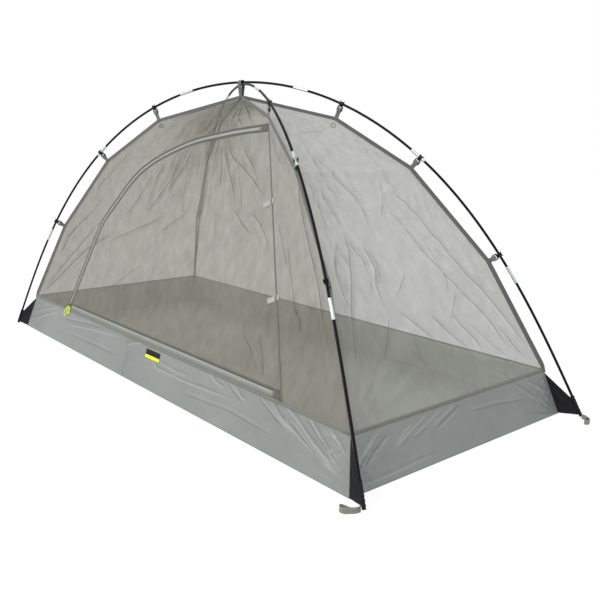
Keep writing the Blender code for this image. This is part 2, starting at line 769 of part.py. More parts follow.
def along_bottom(distance):
    """A frame on the bottom zip; across points down to the tub."""
    return (ZIP_CORNER + BOTTOM_DIRECTION * distance, -BOTTOM_UP, BOTTOM_NORMAL, BOTTOM_DIRECTION)


def bottom_zip_end():
    """The length of the bottom zip from the corner to its end patch."""
    return (BOTTOM_END - ZIP_CORNER).length - ZIP_PATCH_LENGTH - TAPE_EDGE


def make_zips(finishes):
    """Both zips' halves, the bindings beside them and the patches that close their ends."""
    tape = finishes["zip_tape"]
    seam = finishes["seam_tape"]
    zip_half("side_zip_canopy_half", [along_run(0)] + SIDE_STATIONS[1:], 1, TAPE_EDGE, tape, NET_BASE + SNUG)
    zip_half("side_zip_door_half", [along_run(SIDE_GARAGE)] + SIDE_STATIONS[1:], -1, TAPE_EDGE, tape)
    end = bottom_zip_end()
    tub_run = [along_bottom(TUB_TAPE_START), along_bottom(end)]
    door_run = [along_bottom(BOTTOM_GARAGE), along_bottom(end)]
    zip_half("bottom_zip_tub_half", tub_run, 1, TUB_TAPE_EDGE, tape)
    zip_half("bottom_zip_door_half", door_run, -1, TAPE_EDGE, tape)
    rim = list(zip(canopy_side_edge(BINDING_START), canopy_side_edge(BINDING_EDGE)))
    sheet_object("doorway_binding", rim, BINDING_THICKNESS, seam)
    outer = list(reversed(door_side_edge(BINDING_START)))
    inner = list(reversed(door_side_edge(BINDING_EDGE)))
    for edge, offset in ((outer, BINDING_START), (inner, BINDING_EDGE)):
        edge.append(run_to_hinge(edge[-1], BOTTOM_DIRECTION, SWING_GAP))
    sheet_object("door_binding", list(zip(outer, inner)), BINDING_THICKNESS, seam)
    last = SIDE_STATIONS[-1]
    top_patch = []
    for offset in (-TAPE_EDGE, TAPE_EDGE):
        start = side_point(last, offset) + last[3] * GAP
        top_patch.append([start, run_to_hinge(start, last[3], SWING_GAP)])
    low_patch = []
    low_start = along_bottom(end + GAP)
    for offset in (TUB_TAPE_EDGE, -TAPE_EDGE):
        start = low_start[0] + low_start[1] * offset
        low_patch.append([start, run_to_hinge(start, BOTTOM_DIRECTION, SWING_GAP)])
    sheet_object("zip_top_end_patch", top_patch, ZIP_PATCH_THICKNESS, seam)
    sheet_object("zip_foot_end_patch", low_patch, ZIP_PATCH_THICKNESS, seam)


def door_net_edges():
    """The door net's curved edge and the straight edge beside the hinge seam, point for point."""
    edge = door_side_edge(NET_START)
    foot = run_to_hinge(edge[0], BOTTOM_DIRECTION, SWING_GAP)
    top = edge.pop()
    return edge, [foot.lerp(top, k / (len(edge) - 1)) for k in range(len(edge))]


def make_door_net(finishes):
    """The door's net, from the curved edge beside the side zip to the hinge seam."""
    sheet_object("door_net", list(zip(*door_net_edges())), SHEET_THICKNESS, finishes["net"])


def local_place(centre, first, second, third):
    """A function from local to world coordinates."""
    def place(p, q, depth):
        return centre + first * p + second * q + third * depth
    return place


def slider_mesh(along, across, normal, hole_across):
    """A zip slider: two plates joined by a post between the coils, and a bridge for the pull."""
    gap_half = COIL_THICKNESS / 2 + SLIDER_RUN_CLEARANCE
    outside = gap_half + SLIDER_PLATE
    half_length = SLIDER_LENGTH / 2
    half_width = SLIDER_WIDTH / 2
    place = local_place(Vector((0, 0, 0)), along, across, normal)
    overlap = SLIDER_PLATE / 2
    post_end = half_length - SLIDER_POST_WIDTH
    boxes = [((-half_length, -half_width, -outside), (half_length, half_width, -gap_half)),
             ((-half_length, -half_width, gap_half), (half_length, half_width, outside)),
             ((post_end - SLIDER_POST_LENGTH, -SLIDER_POST_WIDTH / 2, -gap_half - overlap),
              (post_end, SLIDER_POST_WIDTH / 2, gap_half + overlap))]
    solids = []
    for k, (low, high) in enumerate(boxes):
        mesh = mesh_from(lambda work, low=low, high=high: box_rings(work, place, low, high))
        solids.append(bpy.data.objects.new(f"slider box {k}", mesh))
    half_hole = BRIDGE_HOLE / 2
    half_outer = half_hole + BRIDGE_WALL
    centre = outside + half_hole
    square = ((-1, -1), (1, -1), (1, 1), (-1, 1))
    inner = [(p * half_hole, q * half_hole) for p, q in square]
    outer = [(p * half_outer, q * half_outer) for p, q in square]
    ring_place = local_place(normal * (centre), square_in_plane(along, across, normal, hole_across),
                             normal, hole_across)
    ring = mesh_from(lambda work: holed_prism(work, outer, inner, ring_place, BRIDGE_WIDTH / 2))
    solids.append(bpy.data.objects.new("slider bridge", ring))
    for solid in solids:
        bpy.context.scene.collection.objects.link(solid)
    return union(solids[0], solids[1:])


def square_in_plane(along, across, normal, direction):
    """The direction in the zip's plane that is square to the bridge's hole."""
    return normal.cross(direction).normalized()


def pull_frame(station, swing):
    """Where a pull cord turns on its slider: the hole's middle, its axis and the way it hangs."""
    centre, across, normal, along = station
    outside = COIL_THICKNESS / 2 + SLIDER_RUN_CLEARANCE + SLIDER_PLATE
    eye = centre + normal * (outside + BRIDGE_HOLE / 2)
    wall_way = Vector((0, -TUB_LEAN_Y, -TUB_HEIGHT)).normalized()
    level = Vector((1, 0, 0))
    hang = wall_way * math.cos(swing) - level * math.sin(swing)
    axis = (level * math.cos(swing) + wall_way * math.sin(swing)).normalized()
    return eye, axis, hang


def pull_mesh(eye, axis, hang, length, width):
    """A cord loop: narrow where it passes the bridge, wide at its free end."""
    def build(work):
        centre_line = []
        for k in range(PULL_POINTS):
            angle = math.tau * k / PULL_POINTS
            down = ((1 - math.cos(angle)) / 2) ** PULL_FLATNESS
            spread = PULL_NECK_WIDTH / 2 + (width - PULL_NECK_WIDTH) / 2 * down ** 2
            centre_line.append(eye + hang * (length * down) + axis * (math.sin(angle) * spread))
        face = axis.cross(hang).normalized()
        rings = []
        for k, point in enumerate(centre_line):
            tangent = (centre_line[(k + 1) % PULL_POINTS] - centre_line[k - 1]).normalized()
            side = tangent.cross(face)
            rings.append([point + side * (math.cos(math.tau * j / PULL_SIDES) * PULL_CORD_RADIUS)
                          + face * (math.sin(math.tau * j / PULL_SIDES) * PULL_CORD_RADIUS)
                          for j in range(PULL_SIDES)])
        skin_rings(work, rings, closed=True)
    return mesh_from(build)


def make_sliders(finishes):
    """The two sliders, parked at the door's lower corner, and their pull cords."""
    side_station = along_run(0)
    bottom_station = along_bottom(BOTTOM_SLIDER_PARK)
    pulls = (("side_zip", side_station, SIDE_PULL_SWING, SIDE_PULL_LENGTH, SIDE_PULL_WIDTH),
             ("bottom_zip", bottom_station, 0.0, BOTTOM_PULL_LENGTH, BOTTOM_PULL_WIDTH))
    for name, station, swing, length, width in pulls:
        centre, across, normal, along = station
        eye, axis, hang = pull_frame(station, swing)
        flat_axis = (axis - normal * axis.dot(normal)).normalized()
        mesh = slider_mesh(along, across, normal, flat_axis)
        slider = add_object(f"{name}_slider", mesh, finishes["slider"])
        slider.location = centre
        cord_mesh = pull_mesh(Vector((0, 0, 0)), axis, hang, length, width)
        cord = add_object(f"{name}_pull_cord", cord_mesh, finishes["pull_cord"])
        cord.location = eye


def tab_frame(height):
    """Where a tie-back tab turns beside the hinge seam: a point, the way it lies, the outside."""
    edge, hinge_side = door_net_edges()
    share = (height - hinge_side[0].z) / (hinge_side[-1].z - hinge_side[0].z)
    row = round(share * (len(edge) - 1))
    left = square_to_hinge(edge[row] - hinge_side[row])
    outward = HINGE_DIRECTION.cross(left).normalized()
    if outward.y > 0:
        outward = -outward
    lift = SHEET_THICKNESS / 2 + SWING_GAP + TAB_THICKNESS / 2
    return hinge_at(height) + left * TAB_SETBACK + outward * lift, left, outward


def make_tabs(finishes):
    """The two tabs that hold the rolled-up door."""
    for name, height in zip(("upper_tie_back_tab", "lower_tie_back_tab"), TAB_HEIGHTS):
        root, left, outward = tab_frame(height)
        place = local_place(Vector((0, 0, 0)), left, HINGE_DIRECTION, outward)
        half = TAB_WIDTH / 2
        corner = half / 2

        def build(work):
            outline = ((0, -half), (TAB_LENGTH - corner, -half), (TAB_LENGTH, -corner),
                       (TAB_LENGTH, corner), (TAB_LENGTH - corner, half), (0, half))
            skin_rings(work, [[place(p, q, side * TAB_THICKNESS / 2) for p, q in outline]
                              for side in (-1, 1)])
        tab = add_object(name, mesh_from(build), finishes["tab_webbing"])
        tab.location = root


def make_label(finishes):
    """A bare label on the front wall."""
    up = Vector((0, TUB_LEAN_Y - SHEET_THICKNESS, TUB_HEIGHT)).normalized()
    out = Vector((1, 0, 0)).cross(up)
    if out.y > 0:
        out = -out
    top = Vector((LABEL_CENTRE_X, -TUB_TOP_Y, TUB_HEIGHT))
    centre = top - up * LABEL_DROP + out * (SHEET_THICKNESS / 2 + GAP + LABEL_THICKNESS / 2)
    place = local_place(centre, Vector((1, 0, 0)), up, out)
    low = (-LABEL_WIDTH / 2, -LABEL_HEIGHT / 2, -LABEL_THICKNESS / 2)
    high = (LABEL_WIDTH / 2, LABEL_HEIGHT / 2, LABEL_THICKNESS / 2)
    add_object("blank_label", mesh_from(lambda work: box_rings(work, place, low, high)), finishes["label"])




def joint_distances(bow):
    """Where the pole's sections meet, on the half towards its first foot."""
    section = bow.half_length * 2 / POLE_SECTIONS
    return [section * (k + 1 / 2) for k in range(POLE_SECTIONS // 2)]


def clip_distance(bow, index, corner):
    """Where a clip sits along its pole: at the point nearest its ridge corner."""
    return bow.nearest(mirrored(RIDGE[index], corner))


def pole_distances(bow, corner):
    """Distances at which a pole's faces turn, symmetrical about its middle."""
    half = {0.0, APEX_LOOP_WIDTH, bow.half_length - POCKET_LENGTH,
            bow.half_length - POLE_TIP_LENGTH, bow.half_length}
    for joint in joint_distances(bow):
        half |= {joint - FERRULE_LENGTH / 2, joint, joint + FERRULE_LENGTH / 2}
    for index in CLIP_NAMES:
        place = abs(clip_distance(bow, index, corner))
        half |= {place - CLIP_GRIP_LENGTH / 2, place + CLIP_GRIP_LENGTH / 2}
    filled = set(half)
    ordered = sorted(half)
    for low, high in zip(ordered, ordered[1:]):
        parts = math.ceil((high - low) / POLE_STEP)
        for k in range(1, parts):
            filled.add(low + (high - low) * k / parts)
    return sorted({-d for d in filled} | filled)


def frames_between(bow, distances, low, high):
    """The pole's frames from one distance to another, through every turn between them."""
    inside = [d for d in distances if low + GAP < d < high - GAP]
    return [bow.frame(d)[:3] for d in [low] + inside + [high]]


def stepped_rings(bow, distances, spans, sides):
    """Rings of a rod whose radius steps from span to span."""
    rings = []
    for low, high, radius in spans:
        for frame in frames_between(bow, distances, low, high):
            rings.append(ring_about(frame, radius, sides))
    return rings


def make_poles(finishes):
    """Both poles: tubes with a ferrule over each joint, and the cords inside, tied to end tips."""
    for name, (bow, corner, _) in POLES.items():
        distances = pole_distances(bow, corner)
        tip_start = bow.half_length - POLE_TIP_LENGTH
        tube_end = tip_start - GAP
        joints = joint_distances(bow)
        spans = []
        reached = -tube_end
        for joint in sorted([-j for j in joints] + joints):
            low = joint - FERRULE_LENGTH / 2
            high = joint + FERRULE_LENGTH / 2
            spans.append((reached, low, POLE_DIAMETER / 2))
            spans.append((low, high, FERRULE_DIAMETER / 2))
            reached = high
        spans.append((reached, tube_end, POLE_DIAMETER / 2))

        def build_tube(work):
            outside = stepped_rings(bow, distances, spans, POLE_SIDES)
            bore = stepped_rings(bow, distances, [(-tube_end, tube_end, POLE_BORE / 2)], POLE_SIDES)
            skin_rings(work, outside + list(reversed(bore)), closed=True)

        def build_cord(work):
            plug_end = tip_start - POLE_TIP_LENGTH
            plug = POLE_BORE / 2 - GAP
            cord = SHOCK_CORD_DIAMETER / 2
            tip = POLE_DIAMETER / 2
            parts = [(-bow.half_length, -tip_start, tip), (-tip_start, -plug_end, plug),
                     (-plug_end, plug_end, cord), (plug_end, tip_start, plug),
                     (tip_start, bow.half_length, tip)]
            skin_rings(work, stepped_rings(bow, distances, parts, POLE_SIDES))
        add_object(name, mesh_from(build_tube), finishes["pole"])
        add_object(f"{name}_shock_cord", mesh_from(build_cord), finishes["shock_cord"])


def clip_frame(bow, corner, index):
    """A clip's centre on the pole, the pole's tangent, the way to the ridge and across."""
    centre, _, _, tangent = bow.frame(clip_distance(bow, index, corner))
    way = mirrored(RIDGE[index], corner) - centre
    inward = (way - tangent * way.dot(tangent)).normalized()
    return centre, tangent, inward, tangent.cross(inward)


def clip_mesh(pole_radius):
    """A snap clip: an open ring round the pole, and a frame with a window for the webbing."""
    step = (math.pi - CLIP_MOUTH_ANGLE) / CLIP_SEGMENTS
    inner_radius = (pole_radius + GAP) / math.cos(step)
    outer_radius = inner_radius + CLIP_WALL
    angles = [-math.pi + CLIP_MOUTH_ANGLE + 2 * step * k for k in range(CLIP_SEGMENTS + 1)]
    ring = [(math.cos(a) * outer_radius, math.sin(a) * outer_radius) for a in angles]
    lip = CLIP_LIP
    flare = 1 / math.sqrt(2)
    last_out, first_out = ring[-1], ring[0]
    inside = [(math.cos(a) * inner_radius, math.sin(a) * inner_radius) for a in reversed(angles)]
    outline = ring + [(last_out[0] - lip * flare, last_out[1] + lip * flare)]
    outline += inside
    outline += [(first_out[0] - lip * flare, first_out[1] - lip * flare)]
    half_grip = CLIP_GRIP_LENGTH / 2
    frame_half = STRAP_WIDTH / 2 + SNUG + CLIP_BAR
    window_half = STRAP_WIDTH / 2 + SNUG
    start = outer_radius - CLIP_WALL / 2
    top = CLIP_WINDOW_START + pole_radius - POLE_DIAMETER / 2
    end = top + CLIP_WINDOW_LENGTH
    along = Vector((1, 0, 0))
    inward = Vector((0, 1, 0))
    across = Vector((0, 0, 1))
    ring_place = local_place(Vector((0, 0, 0)), inward, across, along)
    frame_place = local_place(Vector((0, 0, 0)), along, inward, across)

    def build_ring(work):
        skin_rings(work, [[ring_place(p, q, side * half_grip) for p, q in outline] for side in (-1, 1)])

    def build_frame(work):
        shoulder = top - CLIP_BAR / 2
        outer = ((-half_grip, start), (half_grip, start), (frame_half, shoulder),
                 (frame_half, end + CLIP_BAR), (-frame_half, end + CLIP_BAR), (-frame_half, shoulder))
        inner = ((-window_half / 2, top), (window_half / 2, top), (window_half, top + SNUG),
                 (window_half, end), (-window_half, end), (-window_half, top + SNUG))
        holed_prism(work, outer, inner, frame_place, CLIP_BAR / 2)
    solids = [bpy.data.objects.new("clip ring", mesh_from(build_ring)),
              bpy.data.objects.new("clip frame", mesh_from(build_frame))]
    for solid in solids:
        bpy.context.scene.collection.objects.link(solid)
    return union(solids[0], solids[1:])


def gripped_radius(bow, corner, index):
    """The radius that a clip holds: a ferrule's wherever its grip reaches one."""
    place = abs(clip_distance(bow, index, corner))
    reach = (FERRULE_LENGTH + CLIP_GRIP_LENGTH) / 2 + GAP
    on_ferrule = any(abs(place - joint) < reach for joint in joint_distances(bow))
    return (FERRULE_DIAMETER if on_ferrule else POLE_DIAMETER) / 2


def strap_rings(work, corner, index):
    """The webbing from a clip's bar down to the ridge corner."""
    bow, _ = pole_at(corner)
    centre, tangent, inward, across = clip_frame(bow, corner, index)
    rise = gripped_radius(bow, corner, index) - POLE_DIAMETER / 2
    bar = CLIP_WINDOW_START + rise + CLIP_WINDOW_LENGTH + CLIP_BAR / 2
    tail = (mirrored(RIDGE[index], corner) - centre).dot(inward) - bar + WEBBING_THICKNESS
    sway = bar * math.sin(CLIP_SWING)
    eye_half = CLIP_BAR / 2 + sway + SNUG
    top = CLIP_BAR + STRAP_SLACK
    outer, inner = eye_outlines(eye_half, top, STRAP_EYE_LENGTH, WEBBING_THICKNESS, tail, WEBBING_THICKNESS)
    place = local_place(centre + inward * bar, inward, across, tangent)
    holed_prism(work, outer, inner, place, STRAP_WIDTH / 2)


def make_clips(finishes):
    """Twelve clips on the poles, three on each ridge's side."""
    sizes = {radius: clip_mesh(radius) for radius in (POLE_DIAMETER / 2, FERRULE_DIAMETER / 2)}
    for name, corner in CORNERS.items():
        bow, _ = pole_at(corner)
        for index, part in CLIP_NAMES.items():
            centre, tangent, inward, across = clip_frame(bow, corner, index)
            mesh = sizes[gripped_radius(bow, corner, index)]
            clip = add_object(f"{part}_clip_{name}", mesh.copy(), finishes["clip"])
            turn = Matrix((tangent, inward, across)).transposed()
            clip.matrix_world = Matrix.Translation(centre) @ turn.to_4x4()


def make_apex_loop(finishes):
    """The webbing loop on the peak patch that both poles pass through."""
    centre = Vector((0, 0, POLE_CROSSING_HEIGHT))
    tilt = OVER_BOW.plane.y / OVER_BOW.plane.x
    offset = math.hypot(STACK, APEX_LOOP_WIDTH / 2 * tilt)
    eye = (offset + POLE_DIAMETER / 2 / OVER_BOW.plane.x + SNUG) / math.sin(EYE_ANGLES[2])
    tail = POLE_CROSSING_HEIGHT - CANOPY_PEAK - RIDGE_TAPE_THICKNESS / 2 - GAP
    crotch = (eye + tail) / 2
    outer, inner = eye_outlines(eye, eye, crotch, APEX_WEBBING, tail, APEX_WEBBING)
    place = local_place(centre, Vector((0, 0, -1)), Vector((0, 1, 0)), Vector((1, 0, 0)))
    mesh = mesh_from(lambda work: holed_prism(work, outer, inner, place, APEX_LOOP_WIDTH / 2))
    add_object("apex_loop", mesh, finishes["webbing"])


def peg_direction(corner):
    """The way a peg loop lies from its gusset; opposite corners are alike turned half round."""
    if corner in (FRONT_RIGHT, BACK_LEFT):
        way = Vector((-1, -1, 0))
        sign = corner[0]
    else:
        way = Vector((1, -1, 0))
        sign = corner[0]
    return (way * sign).normalized()


def pocket_end(bow, sign):
    """The outer end of the pocket, just past the pole's foot."""
    centre, _, _, tangent = bow.frame(sign * bow.half_length)
    return centre + tangent * (sign * (GAP + POCKET_WALL))


def make_corners(finishes):
    """The gussets with their pole pockets, and the peg loops at their tips."""
    bore = POLE_DIAMETER / 2 + GAP / math.cos(math.pi / POLE_SIDES)
    outer = bore + POCKET_WALL
    for name, corner in CORNERS.items():
        bow, sign = pole_at(corner)
        distances = pole_distances(bow, corner)

        def build_pocket(work):
            mouth = bow.half_length - POCKET_LENGTH
            inside = frames_between(bow, distances, *sorted((sign * mouth, sign * (bow.half_length + GAP))))
            if sign < 0:
                inside.reverse()
            outside = inside[:-1]
            foot = bow.frame(sign * bow.half_length)
            outside.append((foot[0] + foot[3] * (sign * (GAP + POCKET_WALL)), foot[1], foot[2]))
            rings = [ring_about(frame, bore, POLE_SIDES) for frame in reversed(inside)]
            rings += [ring_about(frame, outer, POLE_SIDES) for frame in outside]
            skin_rings(work, rings)
        pocket = add_object("pocket", mesh_from(build_pocket), finishes["gusset"])
        panel = mesh_from(lambda work: gusset_panel(work, bow, sign, corner, outer - POCKET_WALL / 2))
        cloth = add_object("panel", panel, finishes["gusset"])
        add_object(f"corner_gusset_{name}", union(pocket, [cloth]), finishes["gusset"])
        make_peg_loop(f"peg_loop_{name}", corner, bow, sign, outer, finishes["peg_webbing"])


def gusset_panel(work, bow, sign, corner, outer):
    """The black cloth between the tub's corner seam and the pole's pocket."""
    half = GUSSET_THICKNESS / 2
    seam_top = mirrored(Vector((TUB_TOP_X, TUB_TOP_Y, TUB_HEIGHT)), corner)
    seam_foot = mirrored(Vector((HALF_LENGTH, HALF_WIDTH, 0)), corner)
    way = bow.plane * sign
    inner_line = []
    for height in (SHEET_THICKNESS + GAP * 4, TUB_HEIGHT - GUSSET_TOP_DROP):
        point = seam_foot.lerp(seam_top, height / TUB_HEIGHT)
        inner_line.append(point + way * GUSSET_THICKNESS)
    outer_line = []
    for distance in (bow.half_length - outer, bow.half_length - POCKET_LENGTH + outer):
        centre, normal, _, _ = bow.frame(sign * distance)
        outer_line.append(centre - normal * outer)
    outer_line[0].z = max(outer_line[0].z, SHEET_THICKNESS)
    rings = []
    for line in (inner_line, outer_line):
        ring = []
        for side in (-half, half):
            for point in (line if side < 0 else reversed(line)):
                ring.append(point + bow.side * side)
        rings.append(ring)
    skin_rings(work, rings)


def make_peg_loop(name, corner, bow, sign, outer, finish):
    """A webbing loop on edge beside the gusset's tip, for a ground peg."""
    way = peg_direction(corner)
    root = peg_root(bow, sign, way, outer)
    up = Vector((0, 0, 1))
    half = PEG_LOOP_HEIGHT / 2
    eye_centre = PEG_LOOP_LENGTH - PEG_LOOP_EYE - WEBBING_THICKNESS
    crotch = eye_centre / 2
    outer_line, inner_line = eye_outlines(PEG_LOOP_EYE, PEG_LOOP_EYE, crotch, WEBBING_THICKNESS,
                                          eye_centre, WEBBING_THICKNESS)
    place = local_place(way * eye_centre + up * half, -way, up.cross(way), up)
    mesh = mesh_from(lambda work: holed_prism(work, outer_line, inner_line, place, half))
    loop = add_object(name, mesh, finish)
    loop.location = root


def peg_root(bow, sign, way, outer):
    """The foot of a peg loop's upright axis, clear of the pocket."""
    end = pocket_end(bow, sign)
    return Vector((end.x, end.y, GAP)) + way * (outer + SWING_GAP + WEBBING_THICKNESS)


def pole_at(corner):
    """The pole that stands at a corner, and the sign of that end."""
    for bow, first, second in POLES.values():
        if corner == first:
            return bow, 1
        if corner == second:
            return bow, -1


def hanging_loop_frame(corner):
    """Where a small loop hangs inside the tent, under a top ridge corner."""
    point = mirrored(TOP_CORNER, corner)
    inward = -Vector((point.x, point.y, 0)).normalized()
    below = RIDGE_TAPE_HALF_WIDTH + RIDGE_TAPE_THICKNESS
    return point + inward * below - Vector((0, 0, below)), inward


def make_hanging_loops(finishes):
    """Small loops inside, for a line or a lamp."""
    for name, corner in (("hanging_loop_left", FRONT_LEFT), ("hanging_loop_right", BACK_RIGHT)):
        root, inward = hanging_loop_frame(corner)
        down = Vector((0, 0, -1))
        eye_centre = HANGING_LOOP_LENGTH - HANGING_LOOP_EYE - WEBBING_THICKNESS
        crotch = eye_centre / 2
        outer, inner = eye_outlines(HANGING_LOOP_EYE, HANGING_LOOP_EYE, crotch, WEBBING_THICKNESS,
                                    eye_centre, WEBBING_THICKNESS)
        place = local_place(down * eye_centre, -down, inward, down.cross(inward))
        mesh = mesh_from(lambda work: holed_prism(work, outer, inner, place, HANGING_LOOP_WIDTH / 2))
        loop = add_object(name, mesh, finishes["webbing"])
        loop.location = root


def shade_round_pieces():
    """Smooth shading on turned pieces, with their sharp edges kept."""
    for piece in bpy.data.objects:
        if "pole" in piece.name or "cord" in piece.name or "clip" in piece.name:
            piece.data.shade_smooth()
            piece.data.set_sharp_from_angle(angle=math.radians(50.0))


def make_tent():
    """Builds every piece of the tent."""
    clear_scene()
    finishes = {
        "tub_fabric": material("tub_fabric", (0.36, 0.38, 0.37), 0.45),
        "net": material("net", (0.48, 0.47, 0.43), 0.9),
        "seam_tape": material("seam_tape", (0.15, 0.15, 0.135), 0.75),
        "zip_tape": material("zip_tape", (0.42, 0.42, 0.40), 0.7),
        "slider": material("slider", (0.30, 0.30, 0.30), 0.35, 1.0),
        "pull_cord": material("pull_cord", (0.62, 0.78, 0.02), 0.7),
        "tab_webbing": material("tab_webbing", (0.60, 0.60, 0.58), 0.8),
        "label": material("label", (0.015, 0.015, 0.015), 0.7),
        "webbing": material("webbing", (0.13, 0.145, 0.145), 0.8),
        "clip": material("clip", (0.012, 0.012, 0.013), 0.4),
        "pole": material("pole", (0.01, 0.01, 0.011), 0.3),
        "shock_cord": material("shock_cord", (0.02, 0.02, 0.02), 0.6),
        "gusset": material("gusset", (0.016, 0.015, 0.02), 0.8),
        "peg_webbing": material("peg_webbing", (0.22, 0.22, 0.18), 0.85),
    }
    make_tub(finishes)
    make_nets(finishes)
    make_tapes(finishes)
    make_zips(finishes)
    make_door_net(finishes)
    make_sliders(finishes)
    make_tabs(finishes)
    make_label(finishes)
    make_poles(finishes)
    make_clips(finishes)
    make_apex_loop(finishes)
    make_corners(finishes)
    make_hanging_loops(finishes)
    shade_round_pieces()
    bpy.context.view_layer.update()


make_tent()
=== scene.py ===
# %% [markdown]
# # A one-person mosquito net tent
# The real tent is a coated fabric tub with a net canopy sewn on top, hung by small clips from two
# crossed bent poles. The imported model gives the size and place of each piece, and this notebook
# dresses it: cloth becomes cloth, cords become cords, and each surface gets a finish of its own.
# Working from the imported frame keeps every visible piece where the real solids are.

# %% Load the frame
import math

import bpy
import numpy as np
from mathutils import Matrix, Vector


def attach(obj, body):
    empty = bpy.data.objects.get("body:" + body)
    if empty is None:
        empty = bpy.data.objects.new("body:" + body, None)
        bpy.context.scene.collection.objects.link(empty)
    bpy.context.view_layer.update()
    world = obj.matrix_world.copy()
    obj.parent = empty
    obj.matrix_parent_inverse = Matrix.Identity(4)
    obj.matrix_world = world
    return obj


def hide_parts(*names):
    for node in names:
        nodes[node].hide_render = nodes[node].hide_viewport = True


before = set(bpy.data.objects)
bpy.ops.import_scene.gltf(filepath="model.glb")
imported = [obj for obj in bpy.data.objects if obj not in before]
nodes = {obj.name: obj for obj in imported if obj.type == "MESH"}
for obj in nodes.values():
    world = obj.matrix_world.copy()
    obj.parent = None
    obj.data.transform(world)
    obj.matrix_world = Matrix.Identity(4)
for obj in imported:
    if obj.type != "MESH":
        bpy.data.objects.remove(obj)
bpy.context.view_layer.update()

# %% [markdown]
# ## The camera
# The photograph was taken from the right of the front corner, a little above the tent's top. The
# camera could be placed by eye, but the tent's corners were measured in the picture and the pose
# that puts the model's corners there was worked out, so it is written as numbers. The same
# numbers later turn a place in the picture into a line through the scene.

# %% Place the camera
CAMERA_PLACE = Vector((2.2800, -1.6091, 0.8511))
CAMERA_AZIMUTH = math.radians(50.241)
CAMERA_ELEVATION = math.radians(12.185)
CAMERA_ROLL = math.radians(0.437)
FOCAL_PIXELS = 729.2
PHOTO_SIDE = 600
SENSOR_MM = 36.0

LOOK = Vector((-math.sin(CAMERA_AZIMUTH) * math.cos(CAMERA_ELEVATION),
               math.cos(CAMERA_AZIMUTH) * math.cos(CAMERA_ELEVATION), -math.sin(CAMERA_ELEVATION)))
level_right = Vector((math.cos(CAMERA_AZIMUTH), math.sin(CAMERA_AZIMUTH), 0))
level_up = level_right.cross(LOOK)
RIGHT = level_right * math.cos(CAMERA_ROLL) + level_up * math.sin(CAMERA_ROLL)
UP = level_up * math.cos(CAMERA_ROLL) - level_right * math.sin(CAMERA_ROLL)

camera_data = bpy.data.cameras.new("camera")
camera_data.lens = FOCAL_PIXELS * SENSOR_MM / PHOTO_SIDE
camera_data.sensor_width = SENSOR_MM
camera = bpy.data.objects.new("camera", camera_data)
camera.matrix_world = Matrix.Translation(CAMERA_PLACE) @ Matrix((RIGHT, UP, -LOOK)).transposed().to_4x4()
bpy.context.scene.collection.objects.link(camera)
bpy.context.scene.camera = camera
print(f"lens {camera_data.lens:.2f} mm")


def pixel_line(pixel):
    """The direction from the camera through a pixel of the photograph."""
    half = PHOTO_SIDE / 2
    return (LOOK + RIGHT * ((pixel[0] - half) / FOCAL_PIXELS) + UP * ((half - pixel[1]) / FOCAL_PIXELS)).normalized()


# %% [markdown]
# ## The poles' curve
# Each pole is one straight rod bent into a bow between two corners. A slender rod leans steadily
# more towards its feet, and a quarter sine wave of lean fits the photographed curve closely.
# Clips, straps and gussets all take their place from this curve.

# %% Bend the poles
POLE_DIAMETER = 0.0085
POLE_SECTIONS = 7
POLE_CROSSING_HEIGHT = 1.061
POLE_FOOT_X = 0.068
POLE_FOOT_Y = 0.018
POLE_FOOT_HEIGHT = 0.0075
POLE_TIP_LENGTH = 0.012
FERRULE_LENGTH = 0.060
FERRULE_DIAMETER = 0.0102
CLIP_NAMES = {3: "upper", 2: "middle", 1: "lower"}
FERRULE_CLIP = 2


class Bow:
    """A rod bent like a bow: it leans steadily more towards its feet, by a quarter sine wave."""

    STEPS = 200

    def __init__(self, foot, crossing_height):
        self.plane = Vector((foot.x, foot.y, 0)).normalized()
        self.side = Vector((-self.plane.y, self.plane.x, 0))
        self.top = crossing_height
        reach = math.hypot(foot.x, foot.y)
        steepness = (crossing_height - foot.z) / reach
        low, high = 0.2, math.pi / 2
        for _ in range(60):
            self.lean = (low + high) / 2
            forward, down = self.unit_reach(1.0)
            low, high = (self.lean, high) if down / forward < steepness else (low, self.lean)
        self.half_length = reach / self.unit_reach(1.0)[0]

    def unit_reach(self, share):
        """How far a rod of unit half length has gone forward and down at a share of it."""
        middles = share * (np.arange(self.STEPS) + 1 / 2) / self.STEPS
        angles = self.lean * np.sin(math.pi / 2 * middles)
        return float(np.cos(angles).sum() * share / self.STEPS), float(np.sin(angles).sum() * share / self.STEPS)

    def frame(self, distance):
        """Centre, outward normal, sideways axis and tangent at a distance from the middle."""
        share = abs(distance) / self.half_length
        forward, down = self.unit_reach(share)
        sign = 1 if distance >= 0 else -1
        angle = sign * self.lean * math.sin(math.pi / 2 * share)
        centre = self.plane * (sign * forward * self.half_length)
        centre.z = self.top - down * self.half_length
        tangent = self.plane * math.cos(angle) - Vector((0, 0, math.sin(angle)))
        normal = self.plane * math.sin(angle) + Vector((0, 0, math.cos(angle)))
        return centre, normal, self.side, tangent

    def nearest(self, point):
        """The distance along the rod, from its middle, at which it passes nearest a point."""
        direction = 1 if point.dot(self.plane) > 0 else -1
        low, high = 0.0, self.half_length
        for _ in range(60):
            first, second = low + (high - low) / 3, high - (high - low) / 3
            near = (self.frame(first * direction)[0] - point).length
            far = (self.frame(second * direction)[0] - point).length
            low, high = (low, second) if near < far else (first, high)
        return direction * (low + high) / 2


